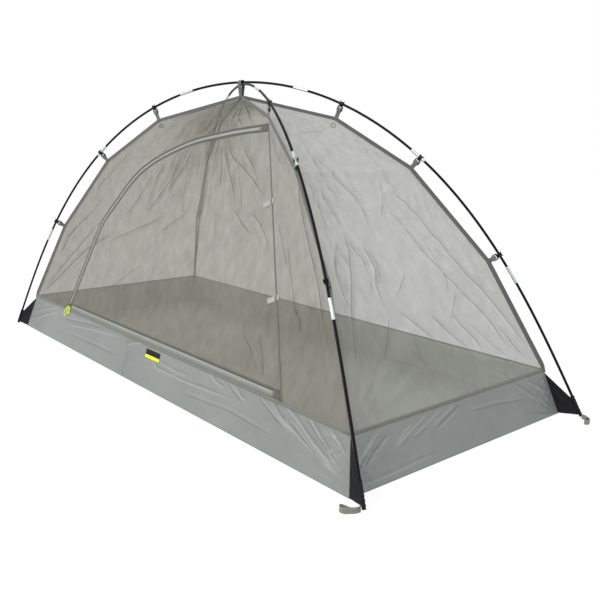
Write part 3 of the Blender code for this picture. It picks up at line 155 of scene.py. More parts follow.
FLOOR_LENGTH = 2.200
FLOOR_WIDTH = 0.930
GAP = 0.0003
HALF_LENGTH = FLOOR_LENGTH / 2
HALF_WIDTH = FLOOR_WIDTH / 2
CORNERS = {"front_left": (-1, -1), "front_right": (1, -1), "back_right": (1, 1), "back_left": (-1, 1)}
FRONT_LEFT, FRONT_RIGHT = CORNERS["front_left"], CORNERS["front_right"]
BACK_RIGHT, BACK_LEFT = CORNERS["back_right"], CORNERS["back_left"]
POLE_STACK = (POLE_DIAMETER + GAP) / 2
OVER_BOW = Bow(Vector((HALF_LENGTH + POLE_FOOT_X, HALF_WIDTH + POLE_FOOT_Y, POLE_FOOT_HEIGHT)),
               POLE_CROSSING_HEIGHT + POLE_STACK)
UNDER_BOW = Bow(Vector((HALF_LENGTH + POLE_FOOT_X, -HALF_WIDTH - POLE_FOOT_Y, POLE_FOOT_HEIGHT)),
                POLE_CROSSING_HEIGHT - POLE_STACK)
POLES = {"left_right_pole": (OVER_BOW, BACK_RIGHT), "front_back_pole": (UNDER_BOW, FRONT_RIGHT)}


def pole_at(corner):
    """The pole that stands at a corner, and the sign of that end."""
    for bow, first in POLES.values():
        if corner == first:
            return bow, 1
        if corner == (-first[0], -first[1]):
            return bow, -1


print(f"poles {2 * OVER_BOW.half_length:.3f} and {2 * UNDER_BOW.half_length:.3f} m long")

# %% [markdown]
# ## The tent's outline
# The floor is a rectangle, the tub's walls lean in a little, and each ridge of the canopy runs
# from a tub corner over three seam corners to the peak. Every cloth piece below hangs between
# these lines, so they are written once, in metres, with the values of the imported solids. Only the
# doorway's binding is drawn a little wider, as the photograph shows it.

# %% Sizes of the tub and the canopy
TUB_HEIGHT = 0.140
TUB_LEAN_X = 0.040
TUB_LEAN_Y = 0.0385
SHEET_THICKNESS = 0.0008
APEX_DROP = 0.052
CANOPY_PEAK = POLE_CROSSING_HEIGHT - APEX_DROP
RIDGE_CORNER_SHARES = (0.6706, 0.4340, 0.2386)
RIDGE_CORNER_DROPS = (0.0380, 0.0460, 0.0548)
RIDGE_CORNER_SHIFTS = (0.0205, 0.00875, 0.0)
RIDGE_TAPE_HALF_WIDTH = 0.006
RIDGE_TAPE_THICKNESS = 0.0016
TUB_BINDING_HEIGHT = 0.008
BINDING_WIDTH = 0.0046
BINDING_THICKNESS = 0.0018
SNUG = 0.0006

TUB_TOP_X = HALF_LENGTH - TUB_LEAN_X
TUB_TOP_Y = HALF_WIDTH - TUB_LEAN_Y
PEAK = Vector((0, 0, CANOPY_PEAK))
MIDDLE_BOW = Bow(Vector((HALF_LENGTH + POLE_FOOT_X, HALF_WIDTH + POLE_FOOT_Y, POLE_FOOT_HEIGHT)), POLE_CROSSING_HEIGHT)
RIDGE = [Vector((TUB_TOP_X, TUB_TOP_Y, TUB_HEIGHT))]
for share, drop, shift in zip(RIDGE_CORNER_SHARES, RIDGE_CORNER_DROPS, RIDGE_CORNER_SHIFTS):
    over, outward, sideways, _ = MIDDLE_BOW.frame(MIDDLE_BOW.half_length * share)
    RIDGE.append(over - outward * drop - sideways * shift)
RIDGE.append(PEAK)
TOP_CORNER = RIDGE[3]
TUB_BINDING_BASE = TUB_HEIGHT + GAP
NET_BASE = TUB_BINDING_BASE + TUB_BINDING_HEIGHT + GAP


def off_axis(way, axis):
    """The part of a vector that is square to an axis."""
    return way - axis * way.dot(axis)


def mirrored(point, corner):
    """A point of the back right quarter moved to another quarter."""
    return Vector((point.x * corner[0], point.y * corner[1], point.z))


def ridge_at(height, corner=BACK_RIGHT):
    """The point of a ridge at a height."""
    for low, high in zip(RIDGE, RIDGE[1:]):
        if height <= high.z or high is PEAK:
            return mirrored(low.lerp(high, (height - low.z) / (high.z - low.z)), corner)


def clip_frame(corner, index):
    """A clip's centre on the pole, the pole's tangent, the way to the ridge and across."""
    bow, _ = pole_at(corner)
    centre, _, _, tangent = bow.frame(bow.nearest(mirrored(RIDGE[index], corner)))
    inward = off_axis(mirrored(RIDGE[index], corner) - centre, tangent).normalized()
    return centre, tangent, inward, tangent.cross(inward)


print(f"ridge corners {[tuple(round(v, 3) for v in point) for point in RIDGE]}")

# %% [markdown]
# ## The doorway
# The door is a leaf of net between a straight hinge seam and a zip that climbs one side and
# curves over the top. Its places come from shares of the front panel, which is ruled by level
# lines between the hinge seam and the left ridge.

# %% Lines of the hinge seam and the zips
HINGE_FOOT_X = 0.780
HINGE_TAPE_WIDTH = 0.010
HINGE_TAPE_GAP = 0.0020
SIDE_ZIP_FOOT_SHARE = 0.803
SIDE_ZIP_RUN_SHARES = (0.785, 0.430)
SIDE_ZIP_CURVE_SHARES = ((0.775, 0.585), (0.712, 0.765), (0.549, 0.884), (0.287, 0.936), (0.0, 0.962))
COIL_GAP = 0.0016
COIL_WIDTH = 0.0024
COIL_THICKNESS = 0.0026
TAPE_WIDTH = 0.006
TUB_TAPE_WIDTH = 0.010
ZIP_PATCH_LENGTH = 0.024
SIDE_GARAGE = 0.008
BOTTOM_GARAGE = 0.022
BOTTOM_SLIDER_PARK = 0.014
SWING_GAP = 0.0010
HINGE_SLOPE_STEP = 0.05
RUN_STEPS = 14
CURVE_STEPS = 84

COIL_EDGE = COIL_GAP / 2
TAPE_START = COIL_EDGE + COIL_WIDTH
TAPE_EDGE = TAPE_START + TAPE_WIDTH
TUB_TAPE_EDGE = TAPE_START + TUB_TAPE_WIDTH
BINDING_START = TAPE_EDGE + GAP
BINDING_EDGE = BINDING_START + BINDING_WIDTH
NET_START = BINDING_EDGE + GAP
BOTTOM_ZIP_HEIGHT = NET_BASE + TUB_TAPE_EDGE
HINGE_TOP = mirrored(TOP_CORNER, FRONT_RIGHT)
HINGE_FOOT = Vector((HINGE_FOOT_X, -TUB_TOP_Y, TUB_HEIGHT))
HINGE_DIRECTION = (HINGE_FOOT - HINGE_TOP).normalized()


def hinge_at(height):
    """The point of the hinge seam at a height."""
    return HINGE_TOP.lerp(HINGE_FOOT, (HINGE_TOP.z - height) / (HINGE_TOP.z - HINGE_FOOT.z))


def square_to_hinge(direction):
    """The part of a direction that is square to the hinge seam, as a unit vector."""
    return off_axis(direction, HINGE_DIRECTION).normalized()


def front_point(share, height):
    """A point of the front panel left of the hinge seam."""
    return hinge_at(height).lerp(ridge_at(height, FRONT_LEFT), share)


def front_normal(share, height):
    """The outward normal of the front panel, evened out over its folds."""
    low = max(height - HINGE_SLOPE_STEP, TUB_HEIGHT)
    high = min(height + HINGE_SLOPE_STEP, TOP_CORNER.z)
    rise = front_point(share, high) - front_point(share, low)
    level = ridge_at(height, FRONT_LEFT) - hinge_at(height)
    return rise.cross(level).normalized()


def resampled(points, count):
    """As many points as asked for, evenly spaced along a line of points."""
    table = np.array([tuple(p) for p in points], float)
    lengths = np.concatenate([[0], np.cumsum(np.linalg.norm(np.diff(table, axis=0), axis=1))])
    wanted = np.linspace(0, lengths[-1], count)
    return np.stack([np.interp(wanted, lengths, table[:, i]) for i in range(3)], axis=1)


def curve_through(points, count):
    """Evenly spaced points on a smooth curve; the first point only sets the starting direction."""
    dense = []
    padded = list(points) + [points[-1] * 2 - points[-2]]
    for k in range(1, len(points) - 1):
        a, b, c, d = padded[k - 1:k + 3]
        for step in range(count):
            t = step / count
            dense.append(((b * 2) + (c - a) * t + (a * 2 - b * 5 + c * 4 - d) * t ** 2
                          + (b * 3 - a - c * 3 + d) * t ** 3) / 2)
    return [Vector(point) for point in resampled(dense + [points[-1]], count + 1)]


def zip_height(share):
    """A height given as a share of the way from the tub to the top ridge corner."""
    return TUB_HEIGHT + (TOP_CORNER.z - TUB_HEIGHT) * share


def hinge_distance(point):
    """How far a point is from the hinge seam."""
    return off_axis(point - HINGE_TOP, HINGE_DIRECTION).length


def run_to_hinge(point, direction, clearance):
    """Follows a direction from a point until it is this clear of the hinge seam."""
    return point + direction * ((hinge_distance(point) - clearance) / off_axis(direction, HINGE_DIRECTION).length)


ZIP_CORNER = front_point(SIDE_ZIP_FOOT_SHARE, BOTTOM_ZIP_HEIGHT)
RUN_END = front_point(SIDE_ZIP_RUN_SHARES[0], zip_height(SIDE_ZIP_RUN_SHARES[1]))
RUN_DIRECTION = (RUN_END - ZIP_CORNER).normalized()
RUN_MIDDLE = (ZIP_CORNER.z + RUN_END.z) / 2
RUN_NORMAL = off_axis(front_normal(SIDE_ZIP_FOOT_SHARE, RUN_MIDDLE), RUN_DIRECTION).normalized()
RUN_ACROSS = RUN_NORMAL.cross(RUN_DIRECTION)
BOTTOM_END = hinge_at(BOTTOM_ZIP_HEIGHT)
BOTTOM_DIRECTION = (BOTTOM_END - ZIP_CORNER).normalized()
BOTTOM_NORMAL = off_axis(front_normal(SIDE_ZIP_FOOT_SHARE, TUB_HEIGHT) + front_normal(0, TUB_HEIGHT),
                         BOTTOM_DIRECTION).normalized()
BOTTOM_UP = BOTTOM_NORMAL.cross(BOTTOM_DIRECTION)
BOTTOM_ZIP_LENGTH = (BOTTOM_END - ZIP_CORNER).length - ZIP_PATCH_LENGTH - TAPE_EDGE


def side_zip_stations():
    """Frames up the side zip: a point on its centre line, the way to the canopy, the normal, the way on."""
    stations = [(ZIP_CORNER.lerp(RUN_END, k / RUN_STEPS), RUN_ACROSS, RUN_NORMAL, RUN_DIRECTION)
                for k in range(RUN_STEPS + 1)]
    shares = [SIDE_ZIP_RUN_SHARES, *SIDE_ZIP_CURVE_SHARES]
    way = [ZIP_CORNER, RUN_END] + [front_point(share, zip_height(height)) for share, height in SIDE_ZIP_CURVE_SHARES]
    centres = curve_through(way, CURVE_STEPS)
    for k in range(1, CURVE_STEPS + 1):
        position = (len(shares) - 1) * k / CURVE_STEPS
        share = float(np.interp(position, range(len(shares)), [pair[0] for pair in shares]))
        tangent = (centres[min(k + 1, CURVE_STEPS)] - centres[k - 1]).normalized()
        normal = off_axis(front_normal(share, centres[k].z), tangent).normalized()
        stations.append((centres[k], normal.cross(tangent), normal, tangent))
    while hinge_distance(stations[-1][0]) < ZIP_PATCH_LENGTH + TAPE_EDGE:
        stations.pop()
    return stations


SIDE_STATIONS = side_zip_stations()
print(f"side zip {sum((b[0] - a[0]).length for a, b in zip(SIDE_STATIONS, SIDE_STATIONS[1:])):.3f} m, "
      f"bottom zip {BOTTOM_ZIP_LENGTH:.3f} m")

# %% [markdown]
# ## Building cloth
# Webbing, bindings, tapes and panels are all the same thing to a mesh: a grid of points with a
# thickness. One helper makes such a grid into a closed piece with rounded edges, and keeps on
# each point how far along and across the cloth it lies, in metres. The finishes read that to
# draw yarn and stitches at their real scale, and no unwrapping is needed.

# %% Grids of points and closed bands
def grid_of(lines):
    """Lines of points as an array: across, along, xyz."""
    return np.array([[tuple(point) for point in line] for line in lines], float)


def grid_normals(grid, looped=False):
    """A unit normal at each point of a grid."""
    if looped:
        wide = np.concatenate([grid[:, -2:-1], grid, grid[:, 1:2]], axis=1)
        along = np.gradient(wide, axis=1)[:, 1:-1]
    else:
        along = np.gradient(grid, axis=1)
    across = np.gradient(grid, axis=0)
    normal = np.cross(across, along)
    length = np.linalg.norm(normal, axis=2, keepdims=True)
    return normal / np.maximum(length, 1e-12)


def metres_along(grid):
    """How far along and across the cloth each point lies."""
    along = np.zeros(grid.shape[:2])
    across = np.zeros(grid.shape[:2])
    middle = grid[grid.shape[0] // 2]
    along[:, 1:] = np.cumsum(np.linalg.norm(np.diff(middle, axis=0), axis=1))[None, :]
    across[1:] = np.cumsum(np.linalg.norm(np.diff(grid, axis=0), axis=2), axis=0)
    return along, across - across[-1:] / 2


def add_mesh(name, points, faces, places, finish, body):
    """Makes a piece from points and faces, with each point's place on the cloth kept on it."""
    mesh = bpy.data.meshes.new(name)
    mesh.from_pydata([tuple(p) for p in points], [], [tuple(f) for f in faces])
    weave = mesh.attributes.new("weave", "FLOAT_VECTOR", "POINT")
    weave.data.foreach_set("vector", np.asarray(places, np.float32).ravel())
    mesh.polygons.foreach_set("use_smooth", [True] * len(mesh.polygons))
    mesh.materials.append(finish)
    mesh.update()
    piece = bpy.data.objects.new(name, mesh)
    bpy.context.scene.collection.objects.link(piece)
    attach(piece, body)
    return piece


def keep_on(piece, attribute, values, sides=1):
    """Writes three more numbers on each point of a piece, for its finish to read."""
    kept = piece.data.attributes.new(attribute, "FLOAT_VECTOR", "POINT")
    kept.data.foreach_set("vector", np.tile(np.asarray(values, np.float32).ravel(), sides))
    return piece


def quads_over(index):
    """Quads over a grid of point numbers."""
    return np.stack([index[:-1, :-1], index[:-1, 1:], index[1:, 1:], index[1:, :-1]], axis=-1).reshape(-1, 4)


def open_net(name, grid, finish, body, flip, crease, pleat):
    """A single layer of net, which has to stay see-through."""
    along, across = metres_along(grid)
    places = np.stack([along, across, along * 0], axis=2).reshape(-1, 3)
    faces = quads_over(np.arange(along.size).reshape(along.shape))
    net = add_mesh(name, grid.reshape(-1, 3), faces[:, ::-1] if flip else faces, places, finish, body)
    keep_on(net, "crease", crease)
    return keep_on(net, "pleat", pleat)


ROUND_EDGE = (0.30, 0.85, 1.0)


def edge_profile(count):
    """Shares of the thickness across a band: round at both edges, full between them."""
    profile = np.ones(count)
    for k, share in enumerate(ROUND_EDGE[:count // 2]):
        profile[k] = profile[-1 - k] = share
    return profile


def closed_band(name, lines, thickness, finish, body="tent", looped=False, profile=None,
                third=None):
    """A strip of cloth with two faces and round edges. A looped band's last point equals its first."""
    grid = lines if isinstance(lines, np.ndarray) else grid_of(lines)
    profile = edge_profile(len(grid)) if profile is None else np.asarray(profile)
    shape = profile[:, None] if profile.ndim == 1 else profile
    lift = grid_normals(grid, looped) * (thickness / 2) * shape[:, :, None]
    along, across = metres_along(grid)
    third = np.zeros(along.shape) if third is None else third
    place = np.stack([along, across, third], axis=2)
    if looped:
        grid, lift, place = grid[:, :-1], lift[:, :-1], place[:, :-1]
    rows, columns = grid.shape[:2]
    points = np.concatenate([(grid + lift).reshape(-1, 3), (grid - lift).reshape(-1, 3)])
    half = rows * columns
    index = np.arange(half).reshape(rows, columns)
    if looped:
        index = np.concatenate([index, index[:, :1]], axis=1)
    quads = quads_over(index)
    rim = list(index[0]) + list(index[1:, -1]) + list(index[-1, -2::-1]) + list(index[-2:0:-1, 0])
    loops = [list(index[0]), list(index[-1][::-1])] if looped else [rim + rim[:1]]
    sides = [(a, b, b + half, a + half) for loop in loops for a, b in zip(loop, loop[1:])]
    faces = np.concatenate([quads[:, ::-1], quads + half, np.array(sides)])
    places = np.concatenate([place.reshape(-1, 3)] * 2)
    return add_mesh(name, points, faces, places, finish, body)


def steps_between(first, second, count):
    """Evenly spaced points after one point and up to another."""
    return [first.lerp(second, k / count) for k in range(1, count + 1)]


FIRST_NORMAL = Vector((0.123, 0.456, 0.881))


def swept_tube(name, centres, radius, sides, finish, body, squash=1.0, normal=FIRST_NORMAL):
    """A round cord or tube along a line of points, with flat ends."""
    count = len(centres)
    rings, places = [], []
    travelled = 0.0
    side = None
    for k, centre in enumerate(centres):
        behind = centres[max(k - 1, 0)]
        tangent = (centres[min(k + 1, count - 1)] - behind).normalized()
        side = normal.cross(tangent) if side is None else side - tangent * side.dot(tangent)
        side.normalize()
        other = tangent.cross(side)
        width = radius[k] if hasattr(radius, "__len__") else radius
        travelled += (centre - behind).length
        for j in range(sides):
            turn = math.tau * j / sides
            rings.append(centre + side * (math.cos(turn) * width) + other * (math.sin(turn) * width * squash))
            places.append((travelled, width * turn, 0))
    index = np.arange(count * sides).reshape(count, sides)
    faces = [*quads_over(np.column_stack([index, index[:, 0]])), index[0, ::-1], index[-1]]
    return add_mesh(name, rings, faces, places, finish, body)


# %% [markdown]
# ## Shader maths in plain Python
# A procedural finish is a sum: yarn here, stitches there, a little noise. Blender draws such sums
# as many small Math nodes, which are slow to place one by one. The class below wraps a socket and
# overloads the operators, so that a finish reads as the sum it is.

# %% A socket that can be added and multiplied
class Mask:
    """One output socket of a finish, usable in Python sums."""

    def __init__(self, finish, socket):
        self.finish = finish
        self.socket = socket

    def __add__(self, other):
        return self.finish.maths("ADD", self, other)

    __radd__ = __add__

    def __mul__(self, other):
        return self.finish.maths("MULTIPLY", self, other)

    __rmul__ = __mul__

    def __sub__(self, other):
        return self.finish.maths("SUBTRACT", self, other)

    def __rsub__(self, other):
        return self.finish.maths("SUBTRACT", other, self)

    def __truediv__(self, other):
        return self.finish.maths("DIVIDE", self, other)

    def __gt__(self, other):
        return self.finish.maths("GREATER_THAN", self, other)

    def __lt__(self, other):
        return self.finish.maths("LESS_THAN", self, other)

    def wave(self):
        """The sine of this value, in radians."""
        return self.finish.maths("SINE", self)

    def size(self):
        """This value without its sign."""
        return self.finish.maths("ABSOLUTE", self)

    def ribs(self, pitch):
        """Ribs that come once in each pitch, from zero to one."""
        return (self * (math.tau / pitch)).wave() * 0.5 + 0.5

    def clipped(self):
        """This value kept between zero and one."""
        return self.finish.maths("MINIMUM", self.finish.maths("MAXIMUM", self, 0.0), 1.0)


class Finish:
    """A material under construction: one method adds any node, and sums add their Math nodes."""

    def __init__(self, name, **settings):
        self.material = bpy.data.materials.new(name)
        self.material.use_nodes = True
        self.tree = self.material.node_tree
        self.shader = self.tree.nodes["Principled BSDF"]
        for socket, value in settings.items():
            self.shader.inputs[socket.replace("_", " ")].default_value = value
        _, (self.along, self.across, self.third) = self.stored("weave")
        self.place = self.node("ShaderNodeTexCoord", out="Object")

    def node(self, kind, settings=None, inputs=None, out=0):
        """Adds a node, sets its own settings, then its sockets' values or links."""
        made = self.tree.nodes.new(kind)
        for setting, value in (settings or {}).items():
            if setting == "stops":
                for element, (position, grey) in zip(made.color_ramp.elements, value):
                    element.position = position
                    element.color = (grey, grey, grey, 1)
            else:
                setattr(made, setting, value)
        for socket, value in (inputs or {}).items():
            self.feed(made.inputs[socket], value)
        return Mask(self, made.outputs[out])

    def feed(self, socket, value):
        """Links a mask to a socket, or sets the socket's own value."""
        if isinstance(value, Mask):
            self.tree.links.new(value.socket, socket)
        else:
            socket.default_value = value

    def maths(self, operation, *values):
        """A Math node on values or masks."""
        return self.node("ShaderNodeMath", {"operation": operation}, dict(enumerate(values)))

    def stored(self, attribute):
        """Three numbers kept on a piece's points, together and one by one."""
        kept = self.node("ShaderNodeAttribute", {"attribute_name": attribute}, out="Vector")
        parts = self.node("ShaderNodeSeparateXYZ", inputs={"Vector": kept}).socket.node
        return kept, [Mask(self, part) for part in parts.outputs]

    def weave(self, turn):
        """Yarns along and across the cloth, from zero to one; turn is in radians a metre."""
        return ((self.along * turn).wave() + (self.across * turn).wave()) * 0.25 + 0.5

    def noise(self, scale, detail=2.0, stretch=None, roughness=0.5):
        """Smooth noise in object space, from zero to one."""
        where = self.place
        if stretch is not None:
            where = self.node("ShaderNodeVectorMath", {"operation": "MULTIPLY"}, {0: self.place, 1: stretch})
        return self.node("ShaderNodeTexNoise", inputs={"Vector": where, "Scale": scale, "Detail": detail,
                                                       "Roughness": roughness})

    def between(self, mask, *ends):
        """A colour mixed by a mask; each end is a mask or an sRGB colour from 0 to 255."""
        low, high = [end if isinstance(end, Mask) else colour(*end) for end in ends]
        return self.node("ShaderNodeMix", {"data_type": "RGBA"}, {0: mask, 6: low, 7: high}, out=2)

    def paint(self, socket, value):
        """Feeds one of the shader's varying sockets."""
        self.feed(self.shader.inputs[socket], value)

    def bump(self, height, depth, strength=1.0):
        """Turns a height mask into the shader's normal."""
        bent = self.node("ShaderNodeBump", inputs={"Height": height, "Distance": depth, "Strength": strength})
        self.paint("Normal", bent)


def colour(red, green, blue):
    """An sRGB colour from 0 to 255 as the linear colour that a shader takes."""
    linear = [c / 255 / 12.92 if c <= 10 else ((c / 255 + 0.055) / 1.055) ** 2.4 for c in (red, green, blue)]
    return (*linear, 1.0)


# %% [markdown]
# ## Finishes
# Fine mosquito net has about one hole a millimetre, far below a pixel here, so it shows as a grey
# veil. The yarn grid is still drawn, because a close view should show it, but most of the veil is
# a plain share of cover. The net is denser where it is gathered and where a fold doubles it. Along
# each fold its colour is also darkened in a thin line of painted shade, with a painted highlight on
# the crest and a soft painted shade beside it.

# %% Mosquito net
NET_PITCH = 0.0016
# Lines beside each fold: the doubled net, whose colour is darkened as painted shade, the painted highlight on its
# crest, and the soft painted shade beside it.
NET_DOUBLED_SHADE_LINE = (0.0, 0.0025)
NET_PAINTED_CREST = (0.0062, 0.0055)
NET_SHADE = (-0.0090, 0.0095)
YARN_COVER = 0.08
CLOUD_COVER = 0.07


def fold_line(beside, strength, middle, half_width):
    """A soft line that runs beside a fold, at its own distance and half width in metres."""
    return (1.0 - (beside - middle).size() / half_width).clipped() * strength


def make_net_finish(name, layer_cover, dark, light):
    finish = Finish(name, Roughness=0.8, Sheen_Weight=0.1, Sheen_Roughness=0.5, Specular_IOR_Level=0.2)
    yarn = finish.weave(math.tau / NET_PITCH)
    cloud = finish.noise(7.0, 3.0)
    crinkle = finish.noise(34.0, 4.0, (1.0, 1.0, 0.55)) - 0.5
    _, (beside, strength, dense) = finish.stored("crease")
    # The doubled net covers more, and its colour is darkened along the fold as painted shade; the crest gets a painted
    # highlight.
    doubled_net_and_shade = fold_line(beside, strength.clipped(), *NET_DOUBLED_SHADE_LINE)
    painted_crest_highlight = fold_line(beside, strength.size(), *NET_PAINTED_CREST)
    shade = fold_line(beside, strength.size(), *NET_SHADE)
    polar, (_, _, held) = finish.stored("pleat")
    streak = finish.node("ShaderNodeTexNoise", inputs={"Vector": polar, "Scale": 1.0, "Detail": 3.0, "Roughness": 0.5})
    swell = (streak - 0.5) * held
    cover = (yarn * YARN_COVER + cloud * CLOUD_COVER + doubled_net_and_shade * 0.38 + shade * 0.045 + swell * 0.24
             - painted_crest_highlight * 0.02 + dense * 0.22 + crinkle * 0.16 + (layer_cover - (YARN_COVER + CLOUD_COVER) / 2))
    finish.paint("Alpha", cover.clipped())
    # The tone is darkened along folds as painted shade and lightened on crests as a painted highlight.
    tone = (cloud * 0.35 + yarn * 0.2 + painted_crest_highlight * 0.12 - swell * 0.45 - doubled_net_and_shade * 1.4 - shade * 0.22
            - dense * 0.45 - crinkle * 0.7 + 0.3)
    finish.paint("Base Color", finish.between(tone.clipped(), dark, light))
    finish.bump(yarn * 0.2 + swell * 2.0, 0.004, 0.4)
    return finish.material


# One net cloth in three tones: the front takes a darker copy of its colour as painted shade, the right end panel a
# lighter copy as painted light.
FRONT_NET_PAINTED_SHADE = make_net_finish("front_net", 0.672, (71, 70, 60), (132, 130, 119))
END_NET_PAINTED_LIGHT = make_net_finish("end_net", 0.50, (116, 116, 108), (172, 172, 164))
BACK_NET = make_net_finish("back_net", 0.45, (108, 108, 100), (158, 158, 150))
print("3 nets made")

# %% [markdown]
# The tub is light polyester coated for water. It has a faint plain weave, a soft sheen from the
# coating, and many small creases left from packing. The creases are stretched noise in the bump,
# and the larger pulls from the corners are real folds in the mesh further down, along which the
# finish paints a highlight on each crest and a shade in the hollow beside it. The inside of the
# walls takes a paler copy of the cloth's colour, as painted light on the inner faces.

# %% Coated tub fabric
# The inner faces' paler colours are painted light; the two lines below place a painted highlight on each crest and a
# painted shade in its hollow.
INNER_SIDE_PAINTED_LIGHT = ((152, 158, 154), (198, 203, 199))
TUB_PAINTED_CREST = (0.0, 0.0042)
TUB_PAINTED_HOLLOW = (-0.0075, 0.0060)
TUB_YARN_TURN = 5200.0


def make_tub_finish(name, dark, light, roughness):
    finish = Finish(name, Sheen_Weight=0.25, Sheen_Roughness=0.35, Specular_IOR_Level=0.5)
    weave = finish.weave(TUB_YARN_TURN)
    packing = finish.noise(16.0, 5.0, (1.0, 1.0, 2.2), 0.6)
    crumple = finish.noise(60.0, 3.0, (1.0, 1.0, 1.6))
    cloud = finish.noise(2.6, 2.0)
    _, (beside, strength, inner) = finish.stored("crease")
    # A painted highlight along each fold's crest, and a painted shade in the hollow beside it.
    painted_crest_highlight = fold_line(beside, strength, *TUB_PAINTED_CREST)
    painted_hollow_shade = fold_line(beside, strength, *TUB_PAINTED_HOLLOW)
    tone = (cloud * 0.6 + packing * 0.4 - 0.05 + painted_crest_highlight * 0.55 - painted_hollow_shade * 0.30).clipped()
    # The inner faces take a paler copy of the cloth's colour: painted light on the inside of the walls.
    coated = finish.between(tone, *INNER_SIDE_PAINTED_LIGHT)
    finish.paint("Base Color", finish.between(inner > 0.5, finish.between(tone, dark, light), coated))
    finish.paint("Roughness", packing * 0.22 + roughness)
    finish.bump(packing * 0.75 + crumple * 0.22 + weave * 0.03, 0.006, 0.32)
    return finish.material


TUB = make_tub_finish("coated_polyester", (92, 97, 95), (134, 139, 136), 0.30)
FLOOR_CLOTH = make_tub_finish("coated_floor", (150, 155, 151), (172, 177, 173), 0.42)
print("tub fabric made")

# %% [markdown]
# Bindings, ridge tapes and webbing are ribbed tape, sewn through. Ribs run across the tape every
# millimetre or two, and rows of stitches run along it. Both come from the place on the cloth, so
# they follow every curve of the doorway, and one function makes them all in their own greys.

# %% Ribbed tape with a row of stitches
STITCH_PITCH = 0.0032
STITCH_WIDTH = 0.0006
STITCH_SHARE = -0.35


def make_tape_finish(name, dark, light, thread, rows, rib_pitch=0.0011, roughness=0.72):
    finish = Finish(name, Sheen_Weight=0.2, Sheen_Roughness=0.5)
    ribs = finish.along.ribs(rib_pitch)
    stitches = 0.0
    for row in rows:
        stitches = stitches + ((finish.across - row).size() < STITCH_WIDTH)
    stitches = stitches * ((finish.along * (math.tau / STITCH_PITCH)).wave() > STITCH_SHARE)
    worn = finish.noise(22.0, 3.0)
    base = finish.between((worn * 0.75 + ribs * 0.25).clipped(), dark, light)
    finish.paint("Base Color", finish.between(stitches.clipped(), base, thread))
    finish.paint("Roughness", worn * 0.15 + roughness)
    finish.bump(ribs * 0.4 + stitches * 0.6, 0.0004, 0.5)
    return finish.material


BINDING = make_tape_finish("binding_tape", (58, 59, 53), (80, 80, 74), (94, 94, 88), (0.0010,))
HINGE_TAPE = make_tape_finish("hinge_tape", (66, 67, 61), (86, 86, 80), (100, 100, 94), (0.0,))
TUB_TAPE = make_tape_finish("tub_top_tape", (82, 85, 79), (104, 107, 101), (118, 120, 114), (0.0014,))
RIDGE_TAPE = make_tape_finish("ridge_tape", (66, 67, 60), (90, 90, 83), (102, 102, 95), (-0.0085, 0.0085))
TUB_SEAM = make_tape_finish("tub_seam_tape", (92, 97, 92), (116, 120, 115), (132, 134, 130), (0.0,))
STRAP_WEB = make_tape_finish("strap_webbing", (74, 79, 79), (98, 103, 102), (116, 120, 120), (-0.0055, 0.0055), 0.0016)
APEX_WEB = make_tape_finish("apex_webbing", (64, 69, 69), (88, 93, 93), (108, 112, 112), (-0.008, 0.008), 0.0018)
PEG_WEB = make_tape_finish("peg_webbing", (96, 98, 86), (128, 130, 117), (140, 140, 128), (-0.006, 0.006), 0.0018, 0.8)
TAB_WEB = make_tape_finish("tab_webbing", (130, 131, 127), (156, 157, 153), (118, 119, 115), (-0.007, 0.007), 0.0015)
LOOP_WEB = make_tape_finish("loop_webbing", (120, 121, 114), (150, 151, 143), (165, 165, 158),
                            (-0.0035, 0.0035), 0.0014)
print("10 tapes made")

# %% [markdown]
# A coil zip is two woven tapes with a nylon coil sewn along each inner edge. The teeth of the
# coil are 1.6 mm apart, so they are drawn in the bump over the coil's bead, which is in the mesh,
# and the coil's colour is darkened between them as painted shade.
# Each point keeps its distance from the coil, so one finish colours the bead, the pale tape and
# the dark hem beyond it. On the tub's half a mark is added to that number, for a grey hem.

# %% Zip tape and coil
ZIP_BEAD_SHARE = 0.25
ZIP_HEM_SHARE = 0.41
ZIP_TUB_MARK = 100.0
ZIP_PLACE_SCALE = 100.0
TEETH_PITCH = 0.0016
TWILL_PITCH = 0.0013


def make_zip_finish():
    finish = Finish("zip_tape", Sheen_Weight=0.1)
    bead = finish.third < ZIP_BEAD_SHARE
    hem = finish.third > ZIP_HEM_SHARE
    teeth = finish.along.ribs(TEETH_PITCH)
    twill = (finish.along + finish.across).ribs(TWILL_PITCH)
    tone = (finish.noise(14.0, 2.0) * 0.7 + twill * 0.3).clipped()
    cloth = finish.between(tone, (150, 150, 144), (170, 170, 164))
    # The coil is darker between its teeth: painted shade in the gaps.
    coil_with_painted_shade = finish.between(teeth, (118, 119, 114), (156, 158, 152))
    dark = finish.between(tone, (56, 57, 51), (78, 78, 72))
    grey = finish.between(tone, (102, 104, 98), (122, 124, 118))
    edge = finish.between(finish.third > ZIP_TUB_MARK / 2, dark, grey)
    finish.paint("Base Color", finish.between(hem, finish.between(bead, cloth, coil_with_painted_shade), edge))
    finish.paint("Roughness", 0.7 - bead * 0.25)
    finish.bump(teeth * bead * 0.8 + twill * 0.12, 0.0006, 0.6)
    return finish.material


ZIP_TAPE = make_zip_finish()
print("zip tape made")

# %% [markdown]
# The hard parts are few: anodised black pole sections, silver ferrules, black moulded clips and
# small cast sliders. Each has a fine texture and a little wear, so that none reads as one flat
# colour. The cord is braided, the gussets are dark woven cloth, and the label is woven too, with
# a plain bright band along its lower edge.

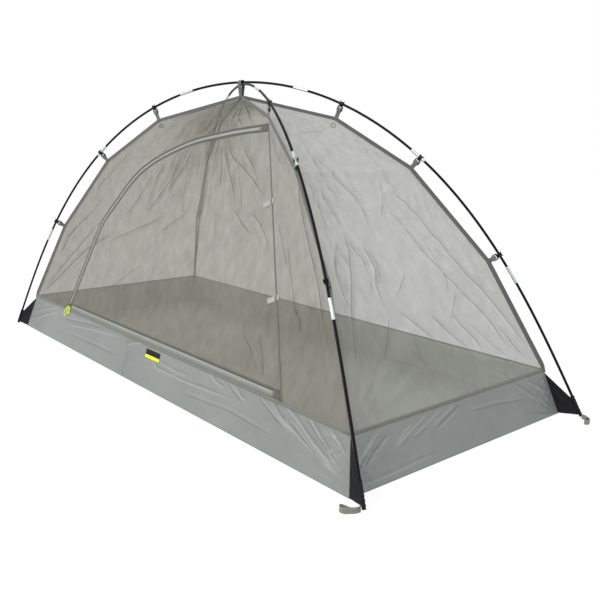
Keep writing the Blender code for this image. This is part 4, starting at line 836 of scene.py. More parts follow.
# %% Hard parts, cords, gussets and label
def make_hard_finish(name, dark, light, metallic, roughness, scale, grain, specular=0.5):
    finish = Finish(name, Metallic=metallic, Specular_IOR_Level=specular)
    rub = finish.noise(scale, 4.0, roughness=0.6)
    speck = finish.noise(scale * 18, 2.0)
    finish.paint("Base Color", finish.between((rub * 0.8 + speck * 0.25 - 0.05).clipped(), dark, light))
    finish.paint("Roughness", rub * 0.2 + speck * 0.08 + roughness)
    finish.bump(speck, grain, 0.3)
    return finish.material


POLE_BLACK = make_hard_finish("anodised_pole", (3, 3, 4), (9, 9, 12), 0.0, 0.30, 30.0, 0.0001, 0.12)
FERRULE_SILVER = make_hard_finish("polished_ferrule", (170, 180, 176), (222, 228, 224), 0.9, 0.2, 40.0, 0.0001)
CLIP_BLACK = make_hard_finish("moulded_clip", (5, 5, 6), (16, 16, 18), 0.0, 0.35, 120.0, 0.0002, 0.25)
SLIDER_METAL = make_hard_finish("cast_slider", (84, 86, 86), (140, 142, 141), 0.9, 0.25, 300.0, 0.0001)
TIP_BLACK = make_hard_finish("shock_cord_and_tip", (8, 8, 9), (22, 22, 24), 0.0, 0.45, 260.0, 0.0002, 0.25)


BRAID_TURN = 3600.0
GUSSET_YARN_TURN = 4200.0
WARP_PITCH = 0.0009
WEFT_PITCH = 0.0007
BAND_RIB_PITCH = 0.0016


def make_cord_finish():
    finish = Finish("lime_cord", Sheen_Weight=0.3, Sheen_Roughness=0.4)
    along, across = finish.along * BRAID_TURN, finish.across * (BRAID_TURN / 2)
    braid = ((along + across).wave() + (along - across).wave()) * 0.25 + 0.5
    soil = finish.noise(220.0, 2.0)
    tone = (braid * 0.7 + soil * 0.4 - 0.05).clipped()
    finish.paint("Base Color", finish.between(tone, (206, 232, 2), (226, 248, 14)))
    finish.paint("Roughness", soil * 0.2 + 0.5)
    finish.bump(braid, 0.0003, 0.6)
    return finish.material


def make_gusset_finish():
    finish = Finish("gusset_cloth", Specular_IOR_Level=0.2)
    weave = finish.weave(GUSSET_YARN_TURN)
    crease = finish.noise(26.0, 4.0, (1.0, 1.0, 1.6), 0.6)
    finish.paint("Base Color", finish.between((crease * 0.8 + weave * 0.2).clipped(), (8, 8, 11), (30, 28, 34)))
    finish.paint("Roughness", crease * 0.2 + 0.7)
    finish.bump(crease * 0.8 + weave * 0.1, 0.004, 0.4)
    return finish.material


def make_label_finish():
    finish = Finish("woven_label", Sheen_Weight=0.03, Sheen_Roughness=0.4, Specular_IOR_Level=0.2)
    warp, weft = finish.along.ribs(WARP_PITCH), finish.across.ribs(WEFT_PITCH)
    band = finish.third > 0.5
    fuzz = finish.noise(300.0, 2.0)
    cloth = finish.between((warp * 0.4 + weft * 0.3 + fuzz * 0.3).clipped(), (10, 10, 11), (26, 27, 29))
    bright = finish.between((finish.along + finish.across).ribs(BAND_RIB_PITCH), (214, 214, 8), (242, 240, 36))
    finish.paint("Base Color", finish.between(band, cloth, bright))
    finish.paint("Roughness", fuzz * 0.2 + 0.6)
    finish.bump(warp * 0.3 + weft * 0.3 + band * 0.4, 0.0003, 0.6)
    return finish.material


LIME_CORD = make_cord_finish()
GUSSET = make_gusset_finish()
LABEL = make_label_finish()
print(f"{len(bpy.data.materials)} materials in the file")

# %% [markdown]
# ## Pull cords
# Two cords hang from the sliders at the door's corner: a bright cord threaded through the bridge
# and knotted, so that a small loop sits above the knot and a finger loop below it. Each is one
# open length of cord with both ends in the bridge, which is what a free cord is to the frame, and
# the knot is a separate wrap round both strands.

# %% Thread and knot the pull cords
SLIDER_PLATE = 0.0011
SLIDER_RUN_CLEARANCE = 0.00035
BRIDGE_HOLE = 0.0040
PULL_CORD_RADIUS = 0.00145
PULL_END_HALF_GAP = 0.0016
KNOT_SHARE = 0.34
KNOT_TURN_RADIUS = 0.00125
KNOT_HALF_GAP = 0.0016
KNOT_TURNS = 2.4
KNOT_STEPS = 54
CORD_STEPS = 72
SIDE_PULL_LEAN = math.radians(26.0)


def along_run(distance):
    """A frame on the side zip's straight run."""
    return ZIP_CORNER + RUN_DIRECTION * distance, RUN_ACROSS, RUN_NORMAL, RUN_DIRECTION


def along_bottom(distance):
    """A frame on the bottom zip; across points down to the tub."""
    return ZIP_CORNER + BOTTOM_DIRECTION * distance, -BOTTOM_UP, BOTTOM_NORMAL, BOTTOM_DIRECTION


def pull_frame(station, swing):
    """Where a pull cord turns on its slider: the hole's middle, its axis and the way it hangs."""
    centre, _, normal, _ = station
    outside = COIL_THICKNESS / 2 + SLIDER_RUN_CLEARANCE + SLIDER_PLATE
    eye = centre + normal * (outside + BRIDGE_HOLE / 2)
    wall_way = Vector((0, -TUB_LEAN_Y, -TUB_HEIGHT)).normalized()
    level = Vector((1, 0, 0))
    hang = wall_way * math.cos(swing) - level * math.sin(swing)
    return eye, (level * math.cos(swing) + wall_way * math.sin(swing)).normalized(), hang


def pull_cord(name, station, swing, length, width, body):
    """One knotted cord loop."""
    eye, axis, hang = pull_frame(station, swing)
    small = min(width * 0.30, 0.0042)
    outline = ((0.02, PULL_END_HALF_GAP), (0.08, small * 0.8), (0.17, small), (0.27, small * 0.62),
               (KNOT_SHARE, KNOT_HALF_GAP), (0.42, KNOT_HALF_GAP * 1.5), (0.56, width * 0.34),
               (0.74, width * 0.47), (0.88, width * 0.36), (0.965, width * 0.17))
    half = [Vector((down * length, spread, 0)) for down, spread in outline]
    whole = [Vector((0, PULL_END_HALF_GAP, 0))] + half + [Vector((length, 0, 0))]
    whole += [Vector((p.x, -p.y, 0)) for p in reversed(half)] + [Vector((0, -PULL_END_HALF_GAP, 0))]
    points = [eye + hang * p.x + axis * p.y for p in curve_through([whole[0] * 2 - whole[1]] + whole, CORD_STEPS)]
    measured = sum((b - a).length for a, b in zip(points, points[1:]))
    cord = swept_tube(name, points, PULL_CORD_RADIUS, 10, LIME_CORD, body)
    face = axis.cross(hang).normalized()
    wrap = []
    for k in range(KNOT_STEPS + 1):
        angle = math.tau * KNOT_TURNS * k / KNOT_STEPS
        down = length * KNOT_SHARE + (k / KNOT_STEPS - 0.5) * KNOT_TURN_RADIUS * 4.6
        wrap.append(eye + hang * down + axis * (math.cos(angle) * KNOT_TURN_RADIUS * 2.5)
                    + face * (math.sin(angle) * KNOT_TURN_RADIUS * 1.9))
    knot = swept_tube(name.replace("_cord", "_knot"), wrap, KNOT_TURN_RADIUS * 0.95, 8, LIME_CORD, body)
    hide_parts(name)
    cord.name = name.replace("_cord", "_cord_loop")
    print(f"{name}: {measured * 1000:.0f} mm of cord")


pull_cord("side_zip_pull_cord", along_run(0), SIDE_PULL_LEAN, 0.050, 0.027, "side_pull")
pull_cord("bottom_zip_pull_cord", along_bottom(BOTTOM_SLIDER_PARK), 0.0, 0.034, 0.011, "bottom_pull")

# %% [markdown]
# ## The panels' surfaces
# A net panel is nearly flat between its ridges, but hanging cloth pulls into folds that fan out
# from the corners where it is held. The folds that the photograph shows are written as short
# lines in its pixels. Each line is cast from the camera onto the panel, and raises a low crest
# there. They are real relief in the mesh, not only bump.

# %% Cast picture lines on the panels
def outer_offset(height, side):
    """The distance of the ridge from the middle plane at heights, along x or y."""
    heights = [point.z for point in RIDGE]
    return np.interp(height, heights, [point[side] for point in RIDGE])


def front_depth(x, z):
    """The y of the front panel over points given by x and z."""
    x, z = np.asarray(x, float), np.asarray(z, float)
    ridge_y = -outer_offset(z, 1)
    share = np.clip((HINGE_TOP.z - z) / (HINGE_TOP.z - HINGE_FOOT.z), 0, 1)
    hinge_x = HINGE_TOP.x + (HINGE_FOOT.x - HINGE_TOP.x) * share
    hinge_y = HINGE_TOP.y + (HINGE_FOOT.y - HINGE_TOP.y) * share
    reach = outer_offset(z, 0)
    left = np.clip((hinge_x - x) / np.maximum(hinge_x + reach, 1e-6), 0, 1)
    right = np.clip((x - hinge_x) / np.maximum(reach - hinge_x, 1e-6), 0, 1)
    away = np.where(x < hinge_x, left, right)
    below = hinge_y + (ridge_y - hinge_y) * away
    return np.where(z < HINGE_TOP.z, below, ridge_y)


NEAREST_CAST, FARTHEST_CAST = 0.3, 5.0
SURFACES = {
    "front": (lambda p: p.y - float(front_depth(p.x, p.z)), (0, 2)),
    "right": (lambda p: float(outer_offset(p.z, 0)) - p.x, (1, 2)),
    "front_wall": (lambda p: p.y + HALF_WIDTH - TUB_LEAN_Y * p.z / TUB_HEIGHT, (0, 2)),
    "right_wall": (lambda p: HALF_LENGTH - TUB_LEAN_X * p.z / TUB_HEIGHT - p.x, (1, 2)),
}


def cast(pixel, surface):
    """Where a pixel's line meets a panel, in that panel's two flat coordinates."""
    behind, axes = SURFACES[surface]
    way = pixel_line(pixel)
    near, far = NEAREST_CAST, FARTHEST_CAST
    for _ in range(44):
        middle = (near + far) / 2
        near, far = (middle, far) if behind(CAMERA_PLACE + way * middle) < 0 else (near, middle)
    hit = CAMERA_PLACE + way * far
    return hit[axes[0]], hit[axes[1]]


def fold_lines(surface, half_width, table):
    """Folds as (points on the panel, height, half width), from a height in millimetres and pixels."""
    folds = []
    for height, *pixels in table:
        pairs = zip(pixels[::2], pixels[1::2])
        folds.append((np.array([cast(pixel, surface) for pixel in pairs]), height / 1000, half_width))
    return folds


CREASE_REACH = 0.03
FULL_CREASE = 0.0022
LOW_RELIEF = 0.4
FADE_IN = 0.12
FADE_OUT = 0.25


def relief(folds, u, v):
    """The height of all folds over points of a panel, and three numbers for the finish: the distance
    to the nearest fold with a sign for the side, its strength there, and a zero to fill in later."""
    total = np.zeros(u.shape)
    beside = np.full(u.shape, CREASE_REACH)
    strength = np.zeros(u.shape)
    for line, height, half_width in folds:
        best = np.full(u.shape, 1e9)
        side = np.ones(u.shape)
        place = np.zeros(u.shape)
        lengths = np.concatenate([[0], np.cumsum(np.hypot(*np.diff(line, axis=0).T))])
        for k in range(len(line) - 1):
            step = line[k + 1] - line[k]
            run = max(float(step @ step), 1e-9)
            du, dv = u - line[k][0], v - line[k][1]
            t = np.clip((du * step[0] + dv * step[1]) / run, 0, 1)
            apart = np.hypot(du - step[0] * t, dv - step[1] * t)
            nearer = apart < best
            best = np.where(nearer, apart, best)
            side = np.where(nearer, np.sign(du * step[1] - dv * step[0]), side)
            place = np.where(nearer, lengths[k] + t * math.sqrt(run), place)
        share = place / lengths[-1]
        ends = np.clip(share / FADE_IN, 0, 1) * np.clip((1 - share) / FADE_OUT, 0, 1)
        width = half_width * (0.6 + 0.7 * share)
        total += height * LOW_RELIEF * np.exp(-(best / width) ** 1.5) * ends
        nearest = best < np.abs(beside)
        beside = np.where(nearest, best * side, beside)
        strength = np.where(nearest, np.clip(height / FULL_CREASE, -1, 1) * ends, strength)
    return total, np.stack([beside, strength, np.zeros(u.shape)], axis=-1)


def around(u, v, centre):
    """The angle about a held point and the distance from it."""
    return np.arctan2(v - centre[1], u - centre[0]), np.hypot(u - centre[0], v - centre[1])


def fan(u, v, centre, count, phase, height, reach):
    """Soft pleats that spread from a point where the cloth is held."""
    angle, away = around(u, v, centre)
    rise = np.clip(away / (reach * 0.35), 0, 1) * np.exp(-(away / reach) ** 2)
    pleat = np.sin(angle * count + phase) + 0.5 * np.sin(angle * count * 1.7 + phase * 2.3)
    return height * pleat * rise


def polar_place(u, v, centre, pleats, reach, strength):
    """A place for streaks that run out from a held point, and how strong they are there."""
    angle, away = around(u, v, centre)
    weight = strength * np.clip(away / 0.08, 0, 1) * np.exp(-(away / reach) ** 2)
    return np.stack([angle * pleats, away * 2.2, weight], axis=-1)


def eased(share):
    """A share from zero to one that starts and ends gently."""
    return share * share * (3 - 2 * share)


def calm(shares, edge):
    """A window that is zero at both ends and one between them."""
    return eased(np.clip(np.minimum(shares, 1 - shares) / edge, 0, 1))


print("panels ready for folds")

# %% [markdown]
# The tables below hold the folds that the photograph shows: a height in millimetres, outward when
# positive, then the pixels that the fold passes, read one by one. Each fold is a real ridge in the
# mesh. A thin line where the cloth doubles is finer than any grid, so every point also keeps its
# distance to the nearest fold, and the finish draws from that a line of painted shade beside a
# painted highlight on the crest.

# %% Folds of the photograph
FRONT_FOLDS = fold_lines("front", 0.007, (
    # from the tub's left corner, up beside the ridge
    (3.6, 46,287, 66,261, 80,245, 98,225, 108,217), (3.2, 43,292, 58,277, 76,259, 88,249, 104,239, 116,233),
    (1.6, 60,253, 70,233, 80,223, 92,211, 104,195, 110,189), (1.4, 60,256, 68,238, 78,225), (1.2, 96,190,
    118,165, 136,148), (-1.6, 48,291, 70,270, 92,254),
    # inside the door, down from its curved top edge
    (1.6, 152,173, 146,185, 140,195, 130,209, 122,219), (2.4, 184,151, 176,165, 168,181, 160,191, 152,203,
    144,215), (2.0, 192,149, 184,165, 172,181, 162,195), (-2.0, 178,150, 166,172, 158,188), (1.2, 166,160,
    156,176, 148,198, 142,214), (2.0, 208,161, 204,175, 201,195, 198,219), (-2.4, 212,160, 206,195, 201,222),
    (1.6, 216,145, 212,161, 208,179, 206,195), (1.4, 220,145, 219,167, 216,191), (1.8, 224,147, 225,161,
    230,185, 232,203), (-1.8, 223,146, 221,170, 218,200), (1.2, 226,145, 232,157, 242,167, 250,177, 258,189,
    266,199), (1.1, 242,145, 246,155, 252,165, 257,183), (1.4, 160,215, 148,223, 134,229, 120,235, 106,243),
    (1.2, 188,203, 180,215, 168,223, 152,235), (1.0, 140,263, 126,273, 114,283, 104,289), (1.2, 232,209,
    240,223, 250,235), (1.2, 250,211, 260,225, 266,239, 269,255), (-1.2, 240,215, 252,232, 262,252), (-1.0,
    150,250, 148,280, 140,310), (1.0, 258,372, 250,350, 240,330), (1.2, 264,378, 262,352, 258,330), (0.9,
    188,160, 182,190, 176,220), (0.9, 236,160, 238,190, 240,220),
    # between the peak and the curve of the zip
    (1.4, 237,105, 226,115, 216,125, 206,135), (1.3, 234,105, 220,113, 208,125, 198,135), (1.4, 239,107,
    232,117, 226,125), (1.1, 241,107, 240,121, 243,131), (1.2, 244,105, 250,115, 255,123), (-1.6, 238,107,
    230,121, 224,133), (1.0, 170,122, 196,112, 222,104),
    # between the hinge seam and the front ridge
    (2.6, 298,176, 300,199, 304,223, 310,253, 318,287, 321,309, 326,345), (1.2, 293,303, 298,319, 300,335),
    (1.0, 278,223, 284,255, 288,275), (1.2, 270,130, 275,152, 284,170), (1.0, 286,240, 292,290, 296,330),
    (-1.2, 312,290, 318,340, 324,400),
))
RIGHT_FOLDS = fold_lines("right", 0.007, (
    # from the front ridge's corners into the end panel
    (2.6, 304,146, 311,155, 320,172, 328,185, 342,202), (2.6, 312,152, 325,165, 337,179, 348,190, 356,197,
    363,210, 368,220, 371,229), (2.4, 318,185, 327,203, 337,217, 343,229), (2.6, 343,230, 348,240, 350,252,
    352,268, 353,290, 353,317, 355,340, 357,370), (2.6, 350,240, 358,250, 366,260, 370,275, 373,290, 374,298),
    (2.8, 362,242, 370,255, 377,268, 378,283, 383,297, 387,308), (2.0, 368,248, 378,262, 381,273, 382,283),
    (1.8, 337,242, 336,260, 337,270), (1.4, 342,253, 350,263), (1.8, 333,255, 337,277, 343,293, 352,310),
    (-2.0, 316,166, 330,190, 344,208), (-2.0, 356,246, 366,262, 372,284), (1.4, 308,180, 318,205, 328,232),
    (1.0, 301,132, 312,130, 320,131, 330,127), (1.2, 318,262, 326,300, 332,330),
    # long folds down to the tub's right corner
    (2.4, 383,182, 397,195, 412,208, 425,223, 438,238, 450,253, 467,272, 482,288, 498,308, 513,328, 528,348,
    537,360), (2.4, 383,202, 400,220, 412,233, 423,248, 437,262, 450,277, 462,290, 477,305, 492,322, 507,342,
    522,357), (1.4, 357,138, 370,155, 383,173, 393,187, 405,200), (1.2, 382,180, 383,200, 384,218), (-1.6,
    392,200, 424,236, 456,270), (2.0, 403,310, 417,323, 430,333, 438,338), (2.2, 432,313, 447,327, 458,337,
    472,348), (2.2, 452,310, 463,325, 477,338, 488,352), (1.4, 407,270, 403,285, 398,297), (1.4, 458,292,
    455,307, 452,323), (1.2, 448,277, 450,290), (1.4, 390,317, 390,333, 387,363), (1.2, 415,338, 423,357,
    432,373), (-1.2, 443,343, 438,360, 437,373), (1.4, 496,322, 512,342, 530,362), (1.2, 470,322, 492,342,
    512,358), (1.0, 420,230, 440,262, 452,290),
))
FRONT_WALL_FOLDS = fold_lines("front_wall", 0.0045, (
    (3.0, 65,324, 93,330, 121,338), (-2.2, 60,318, 92,325, 120,334), (2.2, 72,313, 98,318, 116,326), (2.6,
    84,314, 108,328, 124,336), (2.2, 30,320, 46,315, 62,311), (1.8, 34,312, 48,309, 62,306), (-2.0, 70,334,
    96,346, 118,356), (2.2, 126,345, 138,343, 150,344), (2.2, 209,372, 215,382, 225,390), (3.2, 233,384,
    241,398, 247,402), (-2.4, 226,382, 234,394, 244,404), (3.2, 255,390, 271,410, 287,428, 299,438), (3.8,
    268,398, 283,420, 301,440, 321,460, 337,476, 347,486), (-2.6, 258,396, 272,414, 284,430), (4.2, 282,402,
    297,420, 313,444, 331,466, 345,482), (-2.8, 288,420, 306,444, 324,464), (3.4, 309,418, 321,438, 333,460,
    345,476), (-2.6, 304,417, 326,448, 342,472), (3.0, 331,432, 339,444, 345,456), (2.2, 150,366, 190,384,
    236,402), (-1.6, 180,392, 230,412, 280,440), (1.8, 148,352, 155,366, 160,376), (1.6, 158,362, 176,372,
    192,378),
))
RIGHT_WALL_FOLDS = fold_lines("right_wall", 0.0045, (
    (3.4, 380,432, 370,444, 358,462), (2.8, 374,440, 364,456, 356,472), (-2.2, 388,434, 376,450, 364,470),
    (2.6, 412,424, 404,432, 396,446), (3.0, 426,415, 408,434, 394,450), (3.0, 454,405, 444,414, 430,428),
    (-2.2, 460,404, 448,416, 434,430), (2.4, 440,410, 428,422, 412,438), (1.8, 526,382, 538,388, 549,394),
    (1.6, 512,384, 524,392, 540,402), (-1.6, 470,412, 500,404, 530,398), (1.4, 360,488, 400,470, 440,452),
))
print(f"{len(FRONT_FOLDS) + len(RIGHT_FOLDS)} folds in the net, "
      f"{len(FRONT_WALL_FOLDS) + len(RIGHT_WALL_FOLDS)} in the tub")

# %% [markdown]
# ## The tub
# The floor and walls are one coated fabric. Where the floor lies on the ground it only ripples,
# and the walls are pulled tight by the corners, so they crease on slants. Each wall is a fine
# grid that follows the imported wall, lifted by the creases, and it is calm at its seams. The
# wall's own imported solid is hidden, and this piece stands for it. The wall's own imported
# solid stays in the physics model, and this piece stands for it.

# %% Floor and walls
WALL_FOOT = SHEET_THICKNESS + GAP * 2
PIECE_SEED = 7
WAVE_HEIGHT = 0.0016
SIDE_CALM = 0.02
RISE_CALM = 0.12


def ripple(u, v, seed, count=9, longest=0.9, shortest=0.12):
    """A sum of slow waves in seeded directions, about one in size."""
    draw = np.random.default_rng(seed)
    total = np.zeros(np.shape(u))
    for _ in range(count):
        length = draw.uniform(shortest, longest)
        turn = draw.uniform(0, math.tau)
        phase = draw.uniform(0, math.tau)
        total += np.sin((u * math.cos(turn) + v * math.sin(turn)) * math.tau / length + phase) * length
    return total / (count ** 0.5 * longest * 0.6)


def make_floor():
    x, y = np.meshgrid(np.linspace(-HALF_LENGTH, HALF_LENGTH, 150), np.linspace(-HALF_WIDTH, HALF_WIDTH, 70),
                       indexing="ij")
    edge = calm((x / HALF_LENGTH + 1) / 2, 0.05) * calm((y / HALF_WIDTH + 1) / 2, 0.08)
    lift = (ripple(x, y, PIECE_SEED) + 1.3) * WAVE_HEIGHT * edge
    grid = np.stack([x, y, np.clip(lift, 0, None) + SHEET_THICKNESS / 2], axis=2)
    floor = closed_band("tub_floor", grid, SHEET_THICKNESS, FLOOR_CLOTH, profile=np.ones(x.shape))
    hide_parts("floor_sheet")


def wall_shape(side):
    """A wall's sign, whether it is a long one, and its distance and half length, each with its lean."""
    long_wall = side in ("front", "back")
    by_width, by_length = (HALF_WIDTH, TUB_LEAN_Y), (HALF_LENGTH, TUB_LEAN_X)
    sign = -1 if side in ("front", "left") else 1
    return sign, long_wall, *((by_width, by_length) if long_wall else (by_length, by_width))


def wall_relief(side, u, v):
    """How far a wall stands out from its flat shape: u along it, v up."""
    folds = {"front": FRONT_WALL_FOLDS, "right": RIGHT_WALL_FOLDS}.get(side, ())
    height, crease = relief(folds, u, v)
    _, _, _, (reach, _) = wall_shape(side)
    seed = PIECE_SEED + len(side)
    slow = ripple(u, v * 2.2, seed, 8, 0.45, 0.07) * WAVE_HEIGHT
    for end in (-1, 1):
        slow = slow + fan(u, v, (end * reach, 0.0), 26, seed, WAVE_HEIGHT, 0.26)
        slow = slow + fan(u, v, (end * reach, TUB_HEIGHT), 22, seed * 1.3, 0.0011, 0.20)
    return height + slow, crease


def wall_grid(side, along_count, up_count=38):
    """Points over a wall, with its creases."""
    sign, long_wall, (foot, lean), (reach, reach_lean) = wall_shape(side)
    s, t = np.meshgrid(np.linspace(0, 1, along_count), np.linspace(0, 1, up_count), indexing="ij")
    height = WALL_FOOT + (TUB_HEIGHT - WALL_FOOT) * t
    half = (reach - SHEET_THICKNESS - GAP) - reach_lean * t
    u = (s * 2 - 1) * half
    out, crease = wall_relief(side, u, height)
    out = out * calm(t, RISE_CALM) * calm(s, SIDE_CALM)
    offset = sign * (foot - SHEET_THICKNESS - lean * t + out * math.cos(lean / TUB_HEIGHT))
    points = np.stack([u, offset, height] if long_wall else [offset, u, height], axis=2)
    return points, crease


def make_walls():
    for side, count in (("front", 560), ("back", 260), ("left", 120), ("right", 260)):
        grid, crease = wall_grid(side, count)
        if side in ("left", "right"):
            grid, crease = grid[::-1], crease[::-1]
        wall = closed_band(f"{side}_wall_cloth", grid, SHEET_THICKNESS, TUB,
                           profile=np.ones(grid.shape[:2]))
        inside = crease.copy()
        inside[..., 2] = 1.0
        first, second = (wall.data.vertices[k].co.length for k in (0, len(wall.data.vertices) // 2))
        keep_on(wall, "crease", np.stack([crease, inside] if first > second else [inside, crease]))
        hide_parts(f"tub_wall_{side}")


make_floor()
make_walls()
print("tub floor and four walls made")

# %% [markdown]
# A second join crosses the front wall left of the label, where two lengths of fabric meet. It
# shows as a thin wavy ridge, because its thread pulled the cloth short. It is a narrow strip laid
# on the wall's own surface, so it follows the creases under it.

# %% Seams of the tub
def on_wall(side, u, height, lift):
    """A point just outside a wall's creased surface."""
    sign, long_wall, (foot, lean), _ = wall_shape(side)
    t = (height - WALL_FOOT) / (TUB_HEIGHT - WALL_FOOT)
    out, _ = wall_relief(side, np.array([u]), np.array([height]))
    offset = sign * (foot - SHEET_THICKNESS - lean * t + float(out[0]) * float(calm(t, RISE_CALM)) + lift)
    return Vector((u, offset, height)) if long_wall else Vector((offset, u, height))


FRONT_SEAM = ((-0.122, 0.004), (-0.128, 0.030), (-0.118, 0.062), (-0.114, 0.086), (-0.132, 0.110), (-0.126, 0.138))
SEAM_WIDTH = 0.0036
SEAM_LIFT = 0.0006
SEAM_THICKNESS = 0.0014
CORNER_SEAM_THICKNESS = 0.0010
CORNER_SEAM_SECTION = ((0.004, 0), (0.0025, 0), (0.0012, 0.0012), (0, 0.0025), (0, 0.004))
SEAM_FOOT = 0.002


def make_wall_seam():
    way = curve_through([Vector((x, 0, z)) for x, z in FRONT_SEAM[:1] + FRONT_SEAM], 36)
    lines = [[on_wall("front", p.x + share * SEAM_WIDTH, min(max(p.z, 0.003), TUB_HEIGHT), SEAM_LIFT) for p in way]
             for share in (-0.5, -0.3, 0, 0.3, 0.5)]
    closed_band("front_wall_seam", lines, SEAM_THICKNESS, TUB_SEAM,
                profile=(0.2, 0.8, 1, 0.8, 0.2))


def make_corner_seams():
    for name, corner in CORNERS.items():
        foot = mirrored(Vector((HALF_LENGTH, HALF_WIDTH, SEAM_FOOT)), corner)
        top = mirrored(Vector((TUB_TOP_X, TUB_TOP_Y, TUB_HEIGHT)), corner)
        line = [foot.lerp(top, k / 16) for k in range(17)]
        lines = [[p - mirrored(Vector((x, y, 0)), corner) for p in line] for x, y in CORNER_SEAM_SECTION]
        closed_band(f"corner_seam_{name}", lines, CORNER_SEAM_THICKNESS, TUB_SEAM,
                    profile=(0.3, 0.8, 1, 0.8, 0.3))


def make_tub_binding():
    """The tape round the tub's top edge, one strip with its ends joined."""
    corners = list(CORNERS.values())
    lines = []
    for share in (0, 0.08, 0.2, 0.5, 0.8, 0.92, 1):
        height = TUB_BINDING_BASE + TUB_BINDING_HEIGHT * share
        ring = [ridge_at(height, corners[0])]
        for k, corner in enumerate(corners):
            following = corners[(k + 1) % 4]
            ring += steps_between(ridge_at(height, corner), ridge_at(height, following), 60 if k % 2 == 0 else 30)
        lines.append(ring)
    band = closed_band("tub_top_tape", lines, BINDING_THICKNESS, TUB_TAPE, looped=True)
    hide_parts("tub_top_binding")


make_wall_seam()
make_corner_seams()
make_tub_binding()
print("tub seams and top tape made")

# %% [markdown]
# ## The net canopy
# Each panel runs from the tub to the peak as one continuous sheet, ruled between its two ridges,
# drawn in a little at the middle as tight net is, and pulled into folds from its corners. It is a
# single layer, because a closed one would be seen through twice. Each point also keeps how much
# the net is gathered there, and a place in streaks that run out from the peak, for the finish.

# %% Back and end panels
NET_SAG = 0.012
PANEL_ROWS = 200
PANEL_INSET = 0.55
BEND_STEP = 0.045
PEAK_OPENING = 0.004


def panel_heights(count):
    """Heights up a panel, with the seam corners among them."""
    marks = [NET_BASE] + [point.z for point in RIDGE[1:]]
    marks[-1] -= PEAK_OPENING
    heights = [marks[0]]
    for low, high in zip(marks, marks[1:]):
        parts = max(2, round(count * (high - low) / (marks[-1] - marks[0])))
        heights += [low + (high - low) * k / parts for k in range(1, parts + 1)]
    return np.array(heights)


def level_normal(heights, side):
    """The outward and upward parts of a panel's normal at each height, evened over its bends."""
    low = np.clip(heights - BEND_STEP, RIDGE[0].z, CANOPY_PEAK)
    high = np.clip(heights + BEND_STEP, RIDGE[0].z, CANOPY_PEAK)
    rise = high - low
    run = outer_offset(low, side) - outer_offset(high, side)
    length = np.hypot(rise, run)
    return rise / length, run / length


GATHER_SHARE = 0.65
EDGE_GATHER_SHARE = 0.10
PEAK_GATHER_SHARE = 1.1
GATHER_REACH = 0.11
PEAK_GATHER_REACH = 0.22


def make_panel(name, side, columns, folds, fans, seed, flip, finish, pleats):
    """A net panel between two ridges: side is x- for left, x+ for right and y+ for the back."""
    axis = 0 if side[0] == "x" else 1
    sign = 1 if side[1] == "+" else -1
    heights = panel_heights(PANEL_ROWS)
    z, s = np.meshgrid(heights, np.linspace(-1, 1, columns), indexing="ij")
    out = outer_offset(z, axis)
    half = np.maximum(outer_offset(z, 1 - axis) - RIDGE_TAPE_HALF_WIDTH * PANEL_INSET, 0.0005)
    u = s * half
    window = calm((s + 1) / 2, 0.10) * calm((z - heights[0]) / (heights[-1] - heights[0]), 0.05)
    height, crease = relief(folds, u, z)
    edge = half + u if side == "x+" else half - np.abs(u)
    crease[..., 2] = (GATHER_SHARE if side == "x+" else EDGE_GATHER_SHARE) * np.exp(-edge / GATHER_REACH)
    for centre, count, phase, size, reach in fans:
        height = height + fan(u, z, centre, count, phase, size, reach)
    height = height + ripple(u, z, seed, 8, 0.5, 0.1) * WAVE_HEIGHT
    lift = (height - NET_SAG * (1 - s ** 2) * np.clip(half / 0.4, 0.1, 1)) * window
    outward, upward = level_normal(z, axis)
    across = sign * (out + lift * outward)
    up = z + lift * upward
    grid = np.stack([across, u, up] if axis == 0 else [u, across, up], axis=2)
    return open_net(name, grid, finish, "tent", flip, crease, polar_place(u, z, *pleats)), half, axis


BACK_FANS = (((-TUB_TOP_X, TUB_HEIGHT), 30, 0.4, 0.0030, 0.7), ((TUB_TOP_X, TUB_HEIGHT), 34, 1.9, 0.0030, 0.7),
             ((0, CANOPY_PEAK), 22, 0.8, 0.0035, 0.55), ((RIDGE[2].x, RIDGE[2].z), 24, 2.0, 0.0025, 0.5),
             ((-RIDGE[2].x, RIDGE[2].z), 26, 0.3, 0.0025, 0.5))
END_FANS = (((-TUB_TOP_Y, TUB_HEIGHT), 26, 0.9, 0.0025, 0.45), ((TUB_TOP_Y, TUB_HEIGHT), 24, 2.6, 0.0025, 0.45),
            ((0, CANOPY_PEAK), 20, 0.2, 0.0025, 0.5), ((-RIDGE[2].y, RIDGE[2].z), 22, 1.1, 0.0025, 0.4),
            ((RIDGE[2].y, RIDGE[2].z), 20, 0.6, 0.0022, 0.4))


def panel_area(half, heights, axis):
    """The cut area of a panel, from its half widths and the length up its middle."""
    slope = np.hypot(np.diff(heights), np.diff(outer_offset(heights, axis)))
    widths = half[:, 0] * 2
    return float(((widths[1:] + widths[:-1]) / 2 * slope).sum()), float(slope.sum())


